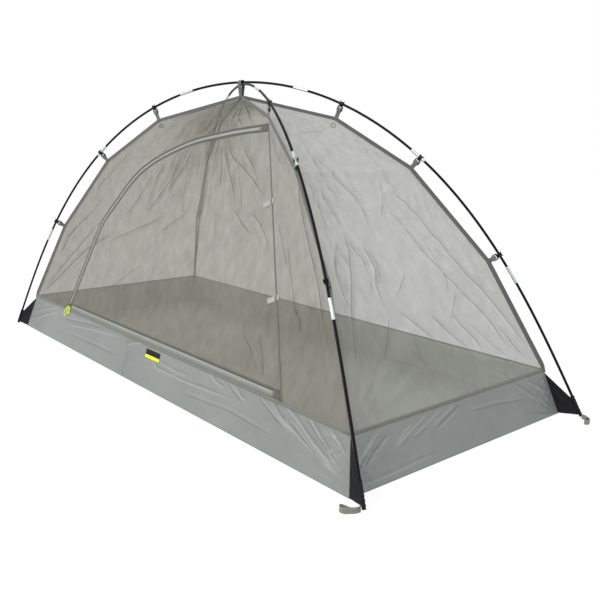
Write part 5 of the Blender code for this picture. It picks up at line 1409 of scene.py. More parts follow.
PEAK_PLACE = (0.0, CANOPY_PEAK + 0.04)
FAR_PLEATS = (PEAK_PLACE, 16.0, 0.6, 0.6)
RIGHT_PLEATS = ((-RIDGE[3].y, RIDGE[3].z + 0.06), 12.0, 0.6, 0.5)
for name, node, side, columns, folds, fans, seed, flip, finish, pleats in (
        ("back_net_cloth", "back_net", "y+", 220, (), BACK_FANS, 11, False, BACK_NET, FAR_PLEATS),
        ("left_net_cloth", "end_net_left", "x-", 110, (), END_FANS, 12, False, BACK_NET, FAR_PLEATS),
        ("right_net_cloth", "end_net_right", "x+", 230, RIGHT_FOLDS, END_FANS, 13, True, END_NET_PAINTED_LIGHT, RIGHT_PLEATS)):
    panel, half, axis = make_panel(name, side, columns, folds, fans, seed, flip, finish, pleats)
    area, rise = panel_area(half, panel_heights(PANEL_ROWS), axis)
    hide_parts(node)
    float(half.max() * 2)
    "ridge_tape_back_" + ("right" if side == "x+" else "left")
    print(f"{name}: {half.max() * 2:.2f} by {rise:.2f} m, {area:.2f} m2")

# %% [markdown]
# The front is three pieces of net: the canopy left of the side zip, the door, and the narrow
# panel between the hinge seam and the right ridge. They are cut from one shape, so one function
# gives the depth of all three, and folds run on from one to the next across the zip.

# %% Front panels and door
def side_point(station, offset):
    """A point beside the side zip, to the canopy side when the offset is positive."""
    return station[0] + station[1] * offset


def run_cut(offset, height):
    """Where a line beside the zip's straight run comes down to a height."""
    start = ZIP_CORNER + RUN_ACROSS * offset
    return start + RUN_DIRECTION * ((height - start.z) / RUN_DIRECTION.z)


def door_side_edge(offset):
    """The door's curved edge from its lower corner to the top end at the hinge seam."""
    start = -RUN_ACROSS * offset
    corner = ZIP_CORNER + start + RUN_DIRECTION * ((offset - start.dot(BOTTOM_UP)) / RUN_DIRECTION.dot(BOTTOM_UP))
    edge = [corner] + [side_point(station, -offset) for station in SIDE_STATIONS[1:]]
    return edge + [run_to_hinge(edge[-1], SIDE_STATIONS[-1][3], SWING_GAP)]


def canopy_side_edge(offset):
    """The canopy's edge beside the side zip, from the tub's binding to the hinge seam."""
    edge = [run_cut(offset, NET_BASE)] + [side_point(station, offset) for station in SIDE_STATIONS[1:]]
    return edge + [run_to_hinge(edge[-1], SIDE_STATIONS[-1][3], SWING_GAP)]


def right_of_hinge(height):
    """The way to the right in the front panel, square to the hinge seam."""
    return square_to_hinge(ridge_at(height, FRONT_RIGHT) - hinge_at(height))


def tape_edge_right(offset, clearance):
    """The height at which a line this far right of the hinge seam meets the ridge tape's edge."""
    low, high = BOTTOM_ZIP_HEIGHT, TOP_CORNER.z
    ridge_run = mirrored((RIDGE[2] - RIDGE[3]).normalized(), FRONT_RIGHT)
    for _ in range(40):
        middle = (low + high) / 2
        apart = off_axis(hinge_at(middle) + right_of_hinge(middle) * offset - HINGE_TOP, ridge_run).length
        low, high = (middle, high) if apart > RIDGE_TAPE_HALF_WIDTH + clearance else (low, middle)
    return low


FRONT_PLEATS = ((0.02, CANOPY_PEAK + 0.03), 16.0, 0.55, 1.0)
FRONT_WAVE_HEIGHT = 0.0013
BLEND_SHARE = 0.35
NET_TUCK = 0.004
RIDGE_TUCK = 0.0025
PEAK_TUCK = 0.003


def tuck(point):
    """A point just inside a ridge, under its tape."""
    return point - Vector((math.copysign(RIDGE_TUCK, point.x), 0, 0))


def ruled_net(name, first, second, rows, columns, folds, seed, body, tuck_edges=0.10):
    """A net between two edges that takes the front panel's depth and folds inside them."""
    a, b = resampled(first, rows), resampled(second, rows)
    t = np.linspace(0, 1, columns)[None, :, None]
    grid = a[:, None] * (1 - t) + b[:, None] * t
    x, z = grid[:, :, 0], grid[:, :, 2]
    near, far = [eased(np.clip(share / BLEND_SHARE, 0, 1)) for share in (t[:, :, 0], 1 - t[:, :, 0])]
    off_first, off_second = [(edge[:, 1] - front_depth(edge[:, 0], edge[:, 2]))[:, None] for edge in (a, b)]
    y = front_depth(x, z) + off_first * (1 - near) + off_second * (1 - far)
    window = calm(t[:, :, 0], tuck_edges) * calm(np.linspace(0, 1, rows)[:, None], 0.03)
    height, crease = relief(folds, x, z)
    crease[..., 2] = PEAK_GATHER_SHARE * np.exp(-(np.hypot(x, z - CANOPY_PEAK) / PEAK_GATHER_REACH) ** 2)
    height = height + ripple(x, z, seed, 8, 0.4, 0.08) * FRONT_WAVE_HEIGHT
    width = np.linalg.norm(b - a, axis=1)[:, None]
    lift = (height - NET_SAG * np.clip(width / 0.6, 0, 1) * 4 * t[:, :, 0] * (1 - t[:, :, 0])) * window
    outward, upward = level_normal(z, 1)
    grid[:, :, 1] = y - lift * outward
    grid[:, :, 2] = z + lift * upward
    return open_net(name, grid, FRONT_NET_PAINTED_SHADE, body, False, crease, polar_place(x, z, *FRONT_PLEATS)), grid


def cloth_area(grid):
    """The area of a grid of points."""
    along, across = np.diff(grid, axis=1)[:-1], np.diff(grid, axis=0)[:, :-1]
    return float(np.linalg.norm(np.cross(along, across), axis=2).sum())


def declare_net(net, grid, flat, **held):
    """Prints a net's area and the flat size given for it."""
    print(f"{net.name}: {cloth_area(grid):.2f} m2 from {flat[0]:.2f} by {flat[1]:.2f} m")


def make_front_nets():
    inner = canopy_side_edge(NET_START - NET_TUCK)
    ridge = [tuck(ridge_at(NET_BASE, FRONT_LEFT))] + [tuck(mirrored(RIDGE[i], FRONT_LEFT)) for i in (1, 2, 3)]
    ridge += [PEAK - Vector((0, 0, PEAK_TUCK)), tuck(mirrored(RIDGE[3], FRONT_RIGHT))]
    canopy, grid = ruled_net("front_left_net_cloth", ridge, inner, 300, 110, FRONT_FOLDS, 21, "tent", 0.07)
    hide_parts("front_net_left")
    declare_net(canopy, grid, (0.50, 1.60), rests_on=["ridge_tape_front_left"])
    offset = HINGE_TAPE_GAP + HINGE_TAPE_WIDTH - NET_TUCK
    top = tape_edge_right(offset, -RIDGE_TAPE_THICKNESS)
    heights = np.linspace(NET_BASE, top, 90)
    hinge_side = [hinge_at(h) + right_of_hinge(h) * offset for h in heights]
    ridge_side = [tuck(ridge_at(h, FRONT_RIGHT)) for h in heights]
    right, grid = ruled_net("front_right_net_cloth", hinge_side, ridge_side, 160, 40, FRONT_FOLDS, 22, "tent")
    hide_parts("front_net_right")
    declare_net(right, grid, (0.34, 0.95), rests_on=["ridge_tape_front_right"])
    edge = door_side_edge(NET_START - NET_TUCK)
    foot = run_to_hinge(edge[0], BOTTOM_DIRECTION, SWING_GAP)
    hinge_edge = [foot.lerp(edge[-1], k / (len(edge) - 2)) for k in range(len(edge) - 1)]
    door, grid = ruled_net("door_net_cloth", edge[:-1], hinge_edge, 240, 240, FRONT_FOLDS, 23, "door", 0.04)
    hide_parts("door_net")
    declare_net(door, grid, (1.42, 0.84), rests_on=["door_binding"])


make_front_nets()

# %% [markdown]
# ## Tapes, bindings and zips
# Each ridge has a tape folded over the edges of both panels: two short wings lie on the net, and
# the fold stands up between them as a fin, which is what the photograph shows of it. A tape also
# covers the hinge seam, and a patch the peak. All are strips that follow known lines, so each is
# a closed band, with enough lines across it to be round at its edges.

# %% Ridge tapes, peak patch and hinge tape
HINGE_TAPE_SHOWN = 0.0065
HINGE_TAPE_LAP = 0.0015
TAPE_WING = 0.0038
TAPE_FIN = 0.0096
TAPE_FOLD = 0.0006
TAPE_RISE = 0.03
TAPE_SLOPE_STEP = 0.006
PEAK_PATCH_REACH = 0.015
PATCH_MARGIN = 0.0004
PATCH_STEPS = np.linspace(-1, 1, 13)
RIDGE_STEPS = 150
TAPE_SECTION = ((1, "x"), (0.5, "x"), (0.1, "x"), (0.5, 1), (0.95, 1), (1.05, 0), (0.95, -1), (0.5, -1),
                (0.1, "y"), (0.5, "y"), (1, "y"))


def ridge_frames(heights):
    """Along the back right ridge: a point, the way out square to it, and the way across the fin."""
    frames = []
    for height in heights:
        point = ridge_at(height)
        rise = ridge_at(min(height + TAPE_SLOPE_STEP, CANOPY_PEAK)) - ridge_at(height - TAPE_SLOPE_STEP)
        level = Vector((rise.x, rise.y, 0))
        out = (Vector((0, 0, level.length)) - level.normalized() * rise.z).normalized()
        side = rise.cross(out).normalized()
        frames.append((point, out, side if side.x < 0 else -side))
    return frames


def make_ridge_tapes():
    """A tape folded over both panels' edges: two short wings, and between them a fin that stands up."""
    low = TUB_HEIGHT - TAPE_WING
    heights = low + (CANOPY_PEAK - RIDGE_TAPE_THICKNESS / 2 - low) * (1 - (1 - np.linspace(0, 1, RIDGE_STEPS)) ** 1.7)
    for name, corner in CORNERS.items():
        lines = []
        for wing, way in TAPE_SECTION:
            line = []
            for point, out, side in ridge_frames(heights):
                if way in ("x", "y"):
                    offset = Vector((TAPE_WING, 0, 0)) if way == "x" else Vector((0, TAPE_WING, 0))
                    placed = point - offset * wing * 1.3
                else:
                    fin = TAPE_FIN * min(1, 0.25 + (point.z - low) / TAPE_RISE)
                    placed = point + out * (fin * wing) + side * (TAPE_FOLD * way)
                line.append(mirrored(placed, corner))
            lines.append(line)
        flip = corner[0] * corner[1] < 0
        tape = closed_band(f"ridge_tape_{name}_cloth", lines[::-1] if flip else lines, RIDGE_TAPE_THICKNESS, RIDGE_TAPE)
        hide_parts(f"ridge_tape_{name}")


def make_peak_patch():
    foot = (RIDGE[3] - PEAK).normalized() * (PEAK_PATCH_REACH - PATCH_MARGIN)
    lines = []
    for a in PATCH_STEPS:
        drops = [foot.z * (math.hypot(max(abs(a), abs(b)), 0.12) - 0.12) for b in PATCH_STEPS]
        lines.append([PEAK + Vector((foot.x * a, foot.y * b, drop + SNUG)) for b, drop in zip(PATCH_STEPS, drops)])
    patch = closed_band("peak_patch_cloth", lines, RIDGE_TAPE_THICKNESS, RIDGE_TAPE)
    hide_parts("peak_patch")


def make_hinge_tape():
    lines = []
    for share in (0, 0.06, 0.5, 0.94, 1):
        offset = -HINGE_TAPE_LAP + (HINGE_TAPE_SHOWN + HINGE_TAPE_LAP) * share
        top = tape_edge_right(offset, RIDGE_TAPE_THICKNESS)
        lines.append([hinge_at(h) + right_of_hinge(h) * offset for h in np.linspace(NET_BASE, top, 60)])
    tape = closed_band("hinge_tape_cloth", lines, RIDGE_TAPE_THICKNESS, HINGE_TAPE)
    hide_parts("hinge_seam_tape")


make_ridge_tapes()
make_peak_patch()
make_hinge_tape()
print("ridge tapes, peak patch and hinge tape made")

# %% [markdown]
# The doorway's edges are bound, and a coil zip joins them along the side and the foot. A zip half
# is one band: a high narrow bead for the coil, then the thin tape. A patch covers each end.

# %% Bindings and zips
BAND_SHARES = (0, 0.07, 0.3, 0.7, 0.93, 1)
ZIP_PROFILE = ((0.0, 0.45), (0.0004, 0.85), (0.0011, 1.0), (0.0018, 0.85), (0.0023, 0.5),
               (0.0028, 0.38), (0.0041, 0.38), (0.0045, 0.38), (0.0999, 0.20))
BOTTOM_STEPS = 110
COIL_SHOWN_EDGE = 0.0005
ZIP_PATCH_THICKNESS = 0.0016
TUB_TAPE_START = 0.0025


def zip_band(name, node, stations, side, edge, body, start_plane=None, hemmed=True):
    """Half a zip: the coil's bead and the tape beside it, swept along its stations."""
    lines, profile, third = [], [], []
    for offset, share in ZIP_PROFILE:
        offset = min(COIL_SHOWN_EDGE + offset, edge)
        line = [station[0] + station[1] * (side * offset) for station in stations]
        if start_plane is not None:
            tangent = stations[0][3]
            line[0] = line[0] + tangent * ((start_plane - line[0].z) / tangent.z)
        lines.append(line)
        profile.append(share)
        place = offset * ZIP_PLACE_SCALE
        third.append([place if hemmed or place < ZIP_HEM_SHARE else place + ZIP_TUB_MARK] * len(line))
    if side > 0:
        lines, profile, third = lines[::-1], profile[::-1], third[::-1]
    half = closed_band(name, lines, COIL_THICKNESS, ZIP_TAPE, body, profile=profile,
                       third=np.array(third, float))
    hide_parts(node)


def make_zips():
    def bottom_stations(start):
        length = BOTTOM_ZIP_LENGTH - start
        return [along_bottom(start + length * k / BOTTOM_STEPS) for k in range(BOTTOM_STEPS + 1)]
    zip_band("side_zip_canopy_tape", "side_zip_canopy_half", [along_run(0)] + SIDE_STATIONS[1:], 1, TAPE_EDGE,
             "tent", NET_BASE + SNUG)
    zip_band("side_zip_door_tape", "side_zip_door_half", [along_run(SIDE_GARAGE)] + SIDE_STATIONS[1:], -1,
             TAPE_EDGE, "door")
    zip_band("bottom_zip_tub_tape", "bottom_zip_tub_half", bottom_stations(TUB_TAPE_START), 1, TUB_TAPE_EDGE,
             "tent", hemmed=False)
    zip_band("bottom_zip_door_tape", "bottom_zip_door_half", bottom_stations(BOTTOM_GARAGE), -1, TAPE_EDGE, "door")


def make_bindings():
    lines = [canopy_side_edge(BINDING_START + BINDING_WIDTH * share) for share in BAND_SHARES]
    rim = closed_band("doorway_binding_tape", lines[::-1], BINDING_THICKNESS, BINDING)
    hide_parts("doorway_binding")
    lines = []
    for share in BAND_SHARES:
        line = list(reversed(door_side_edge(BINDING_START + BINDING_WIDTH * share)))
        line += steps_between(line[-1], run_to_hinge(line[-1], BOTTOM_DIRECTION, SWING_GAP), BOTTOM_STEPS)
        lines.append(line)
    hem = closed_band("door_binding_tape", lines[::-1], BINDING_THICKNESS, BINDING, "door")
    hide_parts("door_binding")


def make_end_patches():
    last = SIDE_STATIONS[-1]
    low = along_bottom(BOTTOM_ZIP_LENGTH + GAP)
    for name, node, station, near, far in (
            ("top_end_patch_cloth", "zip_top_end_patch", last, -TAPE_EDGE, TAPE_EDGE),
            ("foot_end_patch_cloth", "zip_foot_end_patch", low, TUB_TAPE_EDGE, -TAPE_EDGE)):
        lines = []
        for share in (0, 0.04, 0.3, 0.6, 0.96, 1):
            start = station[0] + station[1] * (near + (far - near) * share) + station[3] * GAP
            end = run_to_hinge(start, station[3], SWING_GAP)
            lines.append([start.lerp(end, k / 6) for k in range(7)])
        patch = closed_band(name, lines, ZIP_PATCH_THICKNESS, BINDING)
        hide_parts(node)


make_zips()
make_bindings()
make_end_patches()
print("bindings and zips made")

# %% [markdown]
# ## Webbing
# Every loop of the tent is one strip of webbing folded to an eye and sewn to itself. The clips'
# straps hold the ridge corners to the poles, a wider one holds the peak to the crossing, a peg
# loop lies at each foot, and two small loops hang inside. A path in the plane of the fold, swept
# by the strip's width, gives the folded strip its two legs and its round eye. Each clip also gets
# the two flared lips that guide a pole into it.

# %% Straps, apex loop, peg loops and hanging loops
CLIP_WINDOW_START = 0.0110
CLIP_WINDOW_LENGTH = 0.0107
CLIP_BAR = 0.0026
CLIP_SWING = math.radians(4.0)
STRAP_WIDTH = 0.0150
STRAP_EYE_LENGTH = 0.009
WEBBING_THICKNESS = 0.0012
APEX_LOOP_WIDTH = 0.020
CLIP_EAR_REACH = 0.0125
CLIP_EAR_SPREAD = math.radians(40)
CLIP_EAR_RADII = [0.0017, 0.0017, 0.0016, 0.0014, 0.0012, 0.0007]
CLIP_EAR_BEND = 0.0012
LEG_GAP = WEBBING_THICKNESS * 0.52
APEX_WEBBING = 0.0016
APEX_NARROWING = 0.78
APEX_LEG_GAP = 0.0042
PEG_LOOP_HEIGHT = 0.016
PEG_LOOP_LENGTH = 0.052
PEG_LOOP_EYE = 0.008
PEG_CURL = 0.010
HANGING_LOOP_SHOWN = 0.019
HANGING_LOOP_WIDTH = 0.010
HANGING_LOOP_EYE = 0.0075
POCKET_WALL = 0.0010
EYE_FIRST_ANGLE = math.radians(65.0)
EYE_STEPS = 16
WIDTH_SHARES = (-1, -0.93, -0.5, 0, 0.5, 0.93, 1)
WEBBING_PROFILE = (0.5, 0.95, 1, 1, 1, 0.95, 0.5)
CLIP_PLACES = [(name, corner, index, part) for name, corner in CORNERS.items() for index, part in CLIP_NAMES.items()]


def eye_path(radius, crotch, tail, leg_gap, stretch=1.0):
    """A folded strip in the plane of its fold: the eye's middle at zero and the tail along +p."""
    p, q = radius * math.cos(EYE_FIRST_ANGLE), radius * math.sin(EYE_FIRST_ANGLE)
    half = [(tail, leg_gap), ((tail + crotch) / 2, leg_gap), (crotch, leg_gap)]
    half += [(crotch + (p - crotch) * share, leg_gap + (q - leg_gap) * eased(share)) for share in (0.25, 0.5, 0.75)]
    path = list(half)
    for k in range(EYE_STEPS + 1):
        angle = EYE_FIRST_ANGLE + (math.tau - 2 * EYE_FIRST_ANGLE) * k / EYE_STEPS
        far = stretch if math.cos(angle) < 0 else 1.0
        path.append((radius * math.cos(angle) * far, radius * math.sin(angle)))
    return path + [(p, -q) for p, q in reversed(half)]


def webbing(name, path, centre, first, second, width_way, width, thickness, finish, body, bend=None):
    """Sweeps a folded strip's path by its width."""
    lines = []
    for share in WIDTH_SHARES:
        line = []
        for p, q in path:
            point = centre + first * p + second * q + width_way * (width / 2 * share)
            line.append(bend(point, p) if bend else point)
        lines.append(line)
    return closed_band(name, lines, thickness, finish, body, profile=WEBBING_PROFILE)


def make_straps():
    for name, corner, index, part in CLIP_PLACES:
        centre, tangent, inward, across = clip_frame(corner, index)
        rise = (FERRULE_DIAMETER - POLE_DIAMETER) / 2 if index == FERRULE_CLIP else 0.0
        bar = CLIP_WINDOW_START + rise + CLIP_WINDOW_LENGTH + CLIP_BAR / 2
        tail = (mirrored(RIDGE[index], corner) - centre).dot(inward) - bar + GAP
        radius = CLIP_BAR / 2 + bar * math.sin(CLIP_SWING) + SNUG + WEBBING_THICKNESS / 2
        path = eye_path(radius, STRAP_EYE_LENGTH, tail, LEG_GAP, (CLIP_WINDOW_LENGTH - WEBBING_THICKNESS) / radius)
        strap = webbing(f"{part}_strap_{name}", path, centre + inward * bar, inward, across, tangent,
                        STRAP_WIDTH, WEBBING_THICKNESS, STRAP_WEB, "tent")
        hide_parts(f"ridge_tape_{name}")


def make_clip_ears():
    """The two lips that guide the pole into a clip, flared along it."""
    start = CLIP_EAR_REACH * 0.45
    for name, corner, index, part in CLIP_PLACES:
        centre, tangent, inward, across = clip_frame(corner, index)
        clip = f"{part}_clip_{name}"
        for number, end in enumerate((-1, 1)):
            way = tangent * (end * math.sin(CLIP_EAR_SPREAD)) - inward * math.cos(CLIP_EAR_SPREAD)
            points = [centre + way * (start + (CLIP_EAR_REACH - start) * k / 5)
                      - inward * (CLIP_EAR_BEND * (k / 5) ** 2) for k in range(6)]
            swept_tube(f"{clip}_ear_{number + 1}", points, CLIP_EAR_RADII, 10, CLIP_BLACK, f"{clip}_body",
                       squash=0.6, normal=across)


def make_apex_loop():
    plane = OVER_BOW.plane
    offset = math.hypot(POLE_STACK, APEX_LOOP_WIDTH / 2 * plane.y / plane.x)
    eye = offset + POLE_DIAMETER / 2 / plane.x + SNUG
    tail = POLE_CROSSING_HEIGHT - CANOPY_PEAK - RIDGE_TAPE_THICKNESS / 2 - GAP
    path = eye_path(eye + APEX_WEBBING / 2, tail - APEX_WEBBING * 2, tail, APEX_LEG_GAP)
    path = [(p, q * APEX_NARROWING) for p, q in path]
    loop = webbing("apex_webbing_loop", path, Vector((0, 0, POLE_CROSSING_HEIGHT)), Vector((0, 0, -1)),
                   Vector((0, 1, 0)), Vector((1, 0, 0)), APEX_LOOP_WIDTH, APEX_WEBBING, APEX_WEB, "tent")
    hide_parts("apex_loop")


def peg_direction(corner):
    """The way a peg loop lies from its gusset; opposite corners are alike turned half round."""
    way = Vector((-1, -1, 0)) if corner in (FRONT_RIGHT, BACK_LEFT) else Vector((1, -1, 0))
    return (way * corner[0]).normalized()


def make_peg_loops():
    outer = POLE_DIAMETER / 2 + GAP / math.cos(math.pi / 8) + POCKET_WALL
    for name, corner in CORNERS.items():
        bow, sign = pole_at(corner)
        foot, _, _, tangent = bow.frame(sign * bow.half_length)
        end = foot + tangent * (sign * (GAP + POCKET_WALL))
        way = peg_direction(corner)
        root = Vector((end.x, end.y, GAP)) + way * (outer + SWING_GAP + WEBBING_THICKNESS)
        up = Vector((0, 0, 1))
        eye_centre = PEG_LOOP_LENGTH - PEG_LOOP_EYE - WEBBING_THICKNESS
        path = eye_path(PEG_LOOP_EYE, eye_centre / 2, eye_centre, LEG_GAP)
        centre = root + way * eye_centre + up * (PEG_LOOP_HEIGHT / 2)
        outward = Vector((corner[0], corner[1], 0)).normalized()

        def curl(point, p):
            along = min(max((eye_centre - p) / (eye_centre + PEG_LOOP_EYE), 0), 1)
            return point + outward * (PEG_CURL * math.sin(math.pi * along ** 0.8))
        loop = webbing(f"peg_webbing_{name}", path, centre, -way, up.cross(way), up, PEG_LOOP_HEIGHT,
                       WEBBING_THICKNESS, PEG_WEB, f"peg_loop_{name}_body", bend=curl)
        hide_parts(f"peg_loop_{name}")


def make_hanging_loops():
    for name, corner in (("hanging_loop_left", FRONT_LEFT), ("hanging_loop_right", BACK_RIGHT)):
        point = mirrored(TOP_CORNER, corner)
        inward = -Vector((point.x, point.y, 0)).normalized()
        below = RIDGE_TAPE_HALF_WIDTH + RIDGE_TAPE_THICKNESS
        down = Vector((0, 0, -1))
        eye_centre = HANGING_LOOP_SHOWN - HANGING_LOOP_EYE - WEBBING_THICKNESS
        path = eye_path(HANGING_LOOP_EYE, eye_centre * 0.85, eye_centre, LEG_GAP)
        centre = point + inward * below + down * (below + eye_centre)
        loop = webbing(f"{name}_webbing", path, centre, -down, inward, down.cross(inward), HANGING_LOOP_WIDTH,
                       WEBBING_THICKNESS, LOOP_WEB, f"{name}_body")
        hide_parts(name)


make_straps()
make_clip_ears()
make_apex_loop()
make_peg_loops()
make_hanging_loops()
print("12 straps, 24 clip lips and 7 loops made")

# %% [markdown]
# Two tabs of the same webbing hold the door when it is rolled back. They are sewn beside the
# hinge seam, with a short darker end on the far side of it.

# %% Tie-back tabs
TAB_HEIGHTS = (0.672, 0.406)
TAB_LENGTH = 0.030
TAB_WIDTH = 0.018
TAB_THICKNESS = 0.0016
TAB_SETBACK = 0.003
TAB_ROOT_START = 0.0045
TAB_ROOT_LENGTH = 0.011
TAB_ROOT_LIFT = 0.0008
TAB_CURL = 0.0022
TAB_ROUNDING = 0.22


def make_tabs():
    edge = door_side_edge(NET_START)[:-1]
    foot = run_to_hinge(edge[0], BOTTOM_DIRECTION, SWING_GAP)
    top = run_to_hinge(SIDE_STATIONS[-1][0] - SIDE_STATIONS[-1][1] * NET_START, SIDE_STATIONS[-1][3], SWING_GAP)
    for part, height in zip(("upper", "lower"), TAB_HEIGHTS):
        name = f"{part}_tie_back_tab"
        share = (height - foot.z) / (top.z - foot.z)
        row = round(share * (len(edge) - 1))
        left = square_to_hinge(edge[row] - foot.lerp(top, share))
        outward = HINGE_DIRECTION.cross(left).normalized()
        outward = -outward if outward.y > 0 else outward
        root = hinge_at(height) + left * TAB_SETBACK + outward * (SHEET_THICKNESS / 2 + SWING_GAP + TAB_THICKNESS / 2)
        lines = []
        for share in WIDTH_SHARES:
            line = []
            for k in range(13):
                p = TAB_LENGTH * k / 12
                corner = max(0.0, (p - TAB_LENGTH * 0.85) / (TAB_LENGTH * 0.15)) ** 2 * TAB_ROUNDING
                q = TAB_WIDTH / 2 * share * (1 - corner)
                line.append(root + left * p + HINGE_DIRECTION * q + outward * (TAB_CURL * (k / 12) ** 2))
            lines.append(line)
        tab = closed_band(f"{name}_webbing", lines, TAB_THICKNESS, TAB_WEB, f"{part}_tab",
                          profile=WEBBING_PROFILE)
        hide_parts(name)
        right = right_of_hinge(height)
        start = hinge_at(height) + right * TAB_ROOT_START + outward * (RIDGE_TAPE_THICKNESS / 2 + TAB_ROOT_LIFT)
        lines = [[start + right * (TAB_ROOT_LENGTH * k / 6) + HINGE_DIRECTION * (TAB_WIDTH / 2 * share)
                  for k in range(7)] for share in WIDTH_SHARES]
        closed_band(f"{name}_root", lines, WEBBING_THICKNESS, LOOP_WEB)


make_tabs()
print("2 tie-back tabs made")

# %% [markdown]
# ## Label
# The label is a plain woven patch with a bright lower band. It lies on the creased wall, so each
# of its points is taken from the wall's own surface, and it bends as the wall does.

# %% Label
LABEL_WIDTH = 0.096
LABEL_HEIGHT = 0.030
LABEL_CENTRE_X = 0.058
LABEL_DROP = 0.024
LABEL_BAND = 0.0105
LABEL_LIFT = 0.0010
LABEL_THICKNESS = 0.0006


def make_label():
    lines, bands = [], []
    slope = math.cos(math.atan2(TUB_LEAN_Y, TUB_HEIGHT))
    for j in reversed(range(17)):
        v = (j / 16 - 0.5) * LABEL_HEIGHT
        lines.append([on_wall("front", LABEL_CENTRE_X + (k / 48 - 0.5) * LABEL_WIDTH,
                              TUB_HEIGHT + (v - LABEL_DROP) * slope, LABEL_LIFT) for k in range(49)])
        bands.append([(LABEL_BAND - LABEL_HEIGHT / 2 - v) / LABEL_HEIGHT + 0.5] * 49)
    label = closed_band("woven_label", lines, LABEL_THICKNESS, LABEL, third=np.array(bands))
    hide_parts("blank_label")


make_label()
print("label made")

# %% [markdown]
# ## Poles
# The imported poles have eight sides. Here they are round: a dense tube along the same bow, and a
# bright ferrule over each joint with a small chamfer at its ends.

# %% Round poles with ferrules
POLE_SIDES_SHOWN = 20
POLE_POINTS = 150
FERRULE_CHAMFER = 0.0012


def make_poles():
    for name, (bow, _) in POLES.items():
        end = bow.half_length - POLE_TIP_LENGTH - GAP
        centres = [bow.frame(d)[0] for d in np.linspace(-end, end, POLE_POINTS)]
        rod = swept_tube(f"{name}_tube", centres, POLE_DIAMETER / 2, POLE_SIDES_SHOWN, POLE_BLACK, "tent")
        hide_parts(name)
        section = bow.half_length * 2 / POLE_SECTIONS
        for number in range(1, POLE_SECTIONS):
            middle = -bow.half_length + section * number
            half, radius = FERRULE_LENGTH / 2, FERRULE_DIAMETER / 2
            inner = half - FERRULE_CHAMFER
            distances = [-half, -inner, *np.linspace(-half * 0.8, half * 0.8, 5), inner, half]
            end_radius = radius - FERRULE_CHAMFER * 0.4
            ferrule = swept_tube(f"{name}_ferrule_{number}", [bow.frame(middle + d)[0] for d in distances],
                                 [end_radius] + [radius] * 7 + [end_radius], POLE_SIDES_SHOWN, FERRULE_SILVER,
                                 "tent")
            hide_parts(name)


make_poles()
print("2 poles with 12 ferrules made")

# %% [markdown]
# ## Corners
# At each foot a black gusset joins the tub's corner to a sleeve that the pole stands in. The
# sleeve is loose cloth, so it wrinkles round the pole, and its mouth is hemmed.

# %% Gussets and pole sleeves
GUSSET_THICKNESS = 0.0012
GUSSET_TOP_DROP = 0.006
SLEEVE_SIDES = 20
SLEEVE_RINGS = 44
SLEEVE_SHOWN = 0.068
SLEEVE_HEM = 0.0008
SLEEVE_WRINKLE = 0.0007
GUSSET_WRINKLE = 0.0035


def make_gussets():
    outer = POLE_DIAMETER / 2 + GAP + POCKET_WALL
    for number, (name, corner) in enumerate(CORNERS.items()):
        bow, sign = pole_at(corner)
        top = mirrored(Vector((TUB_TOP_X, TUB_TOP_Y, TUB_HEIGHT)), corner)
        foot = mirrored(Vector((HALF_LENGTH, HALF_WIDTH, 0)), corner)
        lines = []
        for across in np.linspace(0, 1, 14):
            line = []
            for up in np.linspace(0, 1, 18):
                height = SHEET_THICKNESS + GAP * 4 + (TUB_HEIGHT - GUSSET_TOP_DROP - SHEET_THICKNESS) * up
                inner = foot.lerp(top, height / TUB_HEIGHT) - bow.plane * (sign * GUSSET_THICKNESS)
                distance = bow.half_length - outer + (outer * 2 - SLEEVE_SHOWN) * up
                centre, normal, _, _ = bow.frame(sign * distance)
                outside = centre - normal * (outer - 0.0006)
                wrinkle = GUSSET_WRINKLE * math.sin(up * 13 + number * 2 + across * 2.2)
                wrinkle *= math.sin(math.pi * across) * math.sin(math.pi * up)
                point = inner.lerp(outside, across) + bow.side * wrinkle
                point.z = max(point.z, SHEET_THICKNESS)
                line.append(point)
            lines.append(line)
        panel = closed_band(f"gusset_panel_{name}", lines, GUSSET_THICKNESS, GUSSET,
                            profile=[1.0] * len(lines))
        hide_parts(f"corner_gusset_{name}")
        mouth = bow.half_length - SLEEVE_SHOWN
        end = bow.half_length + GAP + POCKET_WALL
        draw = np.random.default_rng(PIECE_SEED + number)
        centres, radii = [], []
        for k in range(SLEEVE_RINGS):
            share = k / (SLEEVE_RINGS - 1)
            distance = mouth + (end - mouth) * share
            past = max(0.0, distance - bow.half_length)
            centres.append(bow.frame(sign * (distance - past))[0]
                           + bow.frame(sign * bow.half_length)[3] * (sign * past))
            wave = math.sin(k * 0.9 + draw.uniform(-0.4, 0.4))
            radii.append(outer + (SLEEVE_HEM if share < 0.08 else SLEEVE_WRINKLE * wave))
        radii[-1] *= 0.8
        sleeve = swept_tube(f"pole_sleeve_{name}", centres, radii, SLEEVE_SIDES, GUSSET, "tent")
        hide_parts(f"corner_gusset_{name}")


make_gussets()
print("4 gussets with their sleeves made")

# %% [markdown]
# ## Pieces carried over
# Clips, sliders and the shock cords with their tips are hard or hidden parts whose imported solids
# have the right shape already. Each gets a finish, and the clips also a small bevel on their edges.

# %% Clips, sliders and tips
BEVEL_WIDTH = 0.0004


def finish_node(name, finish, bevel):
    node = nodes[name]
    node.data.materials.clear()
    node.data.materials.append(finish)
    if bevel:
        edge = node.modifiers.new("edge", "BEVEL")
        edge.width = BEVEL_WIDTH
        edge.segments = 2
        edge.limit_method = "ANGLE"


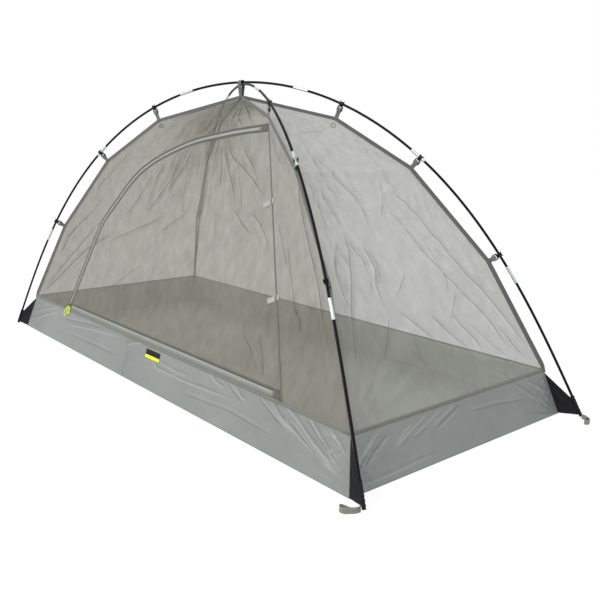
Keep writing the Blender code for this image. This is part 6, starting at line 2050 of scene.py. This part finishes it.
for name in nodes:
    if "_clip_" in name:
        finish_node(name, CLIP_BLACK, True)
for name in ("side_zip_slider", "bottom_zip_slider"):
    finish_node(name, SLIDER_METAL, False)
for name in POLES:
    finish_node(f"{name}_shock_cord", TIP_BLACK, False)
print("carried-over pieces finished")

# %% [markdown]
# ## Studio
# The photograph is a cut-out on white. The pale floor glows a little, so that it meets the white
# sky without a horizon, and the sky lights the net from all round, so that it keeps its flat grey.
# One large soft light from the front makes the front wall brighter than the end wall, and a weak
# one fills in from behind.

# %% Floor, sky and lights
STUDIO_SIZE = 30.0
FLOOR_DROP = 0.0006
FLOOR_GLOW = 0.88
LAMP_TARGET = Vector((0, 0, 0.4))
LAMPS = (("key", (0.8, -4.2, 3.2), 2.4, 160.0), ("fill", (-3.0, 3.0, 3.0), 3.0, 20.0))


def make_studio():
    mesh = bpy.data.meshes.new("studio_floor")
    half = STUDIO_SIZE / 2
    mesh.from_pydata([(-half, -half, 0), (half, -half, 0), (half, half, 0), (-half, half, 0)], [], [(0, 1, 2, 3)])
    floor = bpy.data.objects.new("studio_floor", mesh)
    floor.location.z = -FLOOR_DROP
    bpy.context.scene.collection.objects.link(floor)
    paint = Finish("studio_floor", Roughness=0.9, Specular_IOR_Level=0.0, Emission_Strength=FLOOR_GLOW)
    paint.paint("Base Color", paint.between(paint.noise(3.0, 3.0), (102, 102, 102), (110, 110, 110)))
    paint.paint("Emission Color", (1.0, 1.0, 1.0, 1.0))
    mesh.materials.append(paint.material)
    world = bpy.data.worlds.new("studio")
    world.use_nodes = True
    world.node_tree.nodes["Background"].inputs["Color"].default_value = (1, 1, 1, 1)
    world.node_tree.nodes["Background"].inputs["Strength"].default_value = 1.0
    bpy.context.scene.world = world
    for name, place, size, power in LAMPS:
        data = bpy.data.lights.new(name, "AREA")
        data.size = size
        data.energy = power
        lamp = bpy.data.objects.new(name, data)
        turn = (Vector(place) - LAMP_TARGET).to_track_quat("Z", "Y")
        lamp.matrix_world = Matrix.Translation(Vector(place)) @ turn.to_matrix().to_4x4()
        bpy.context.scene.collection.objects.link(lamp)


make_studio()
bpy.context.scene.view_settings.view_transform = "Standard"
print("studio ready")

# %% [markdown]
# ## Last update

# %% Update the view layer
bpy.context.view_layer.update()
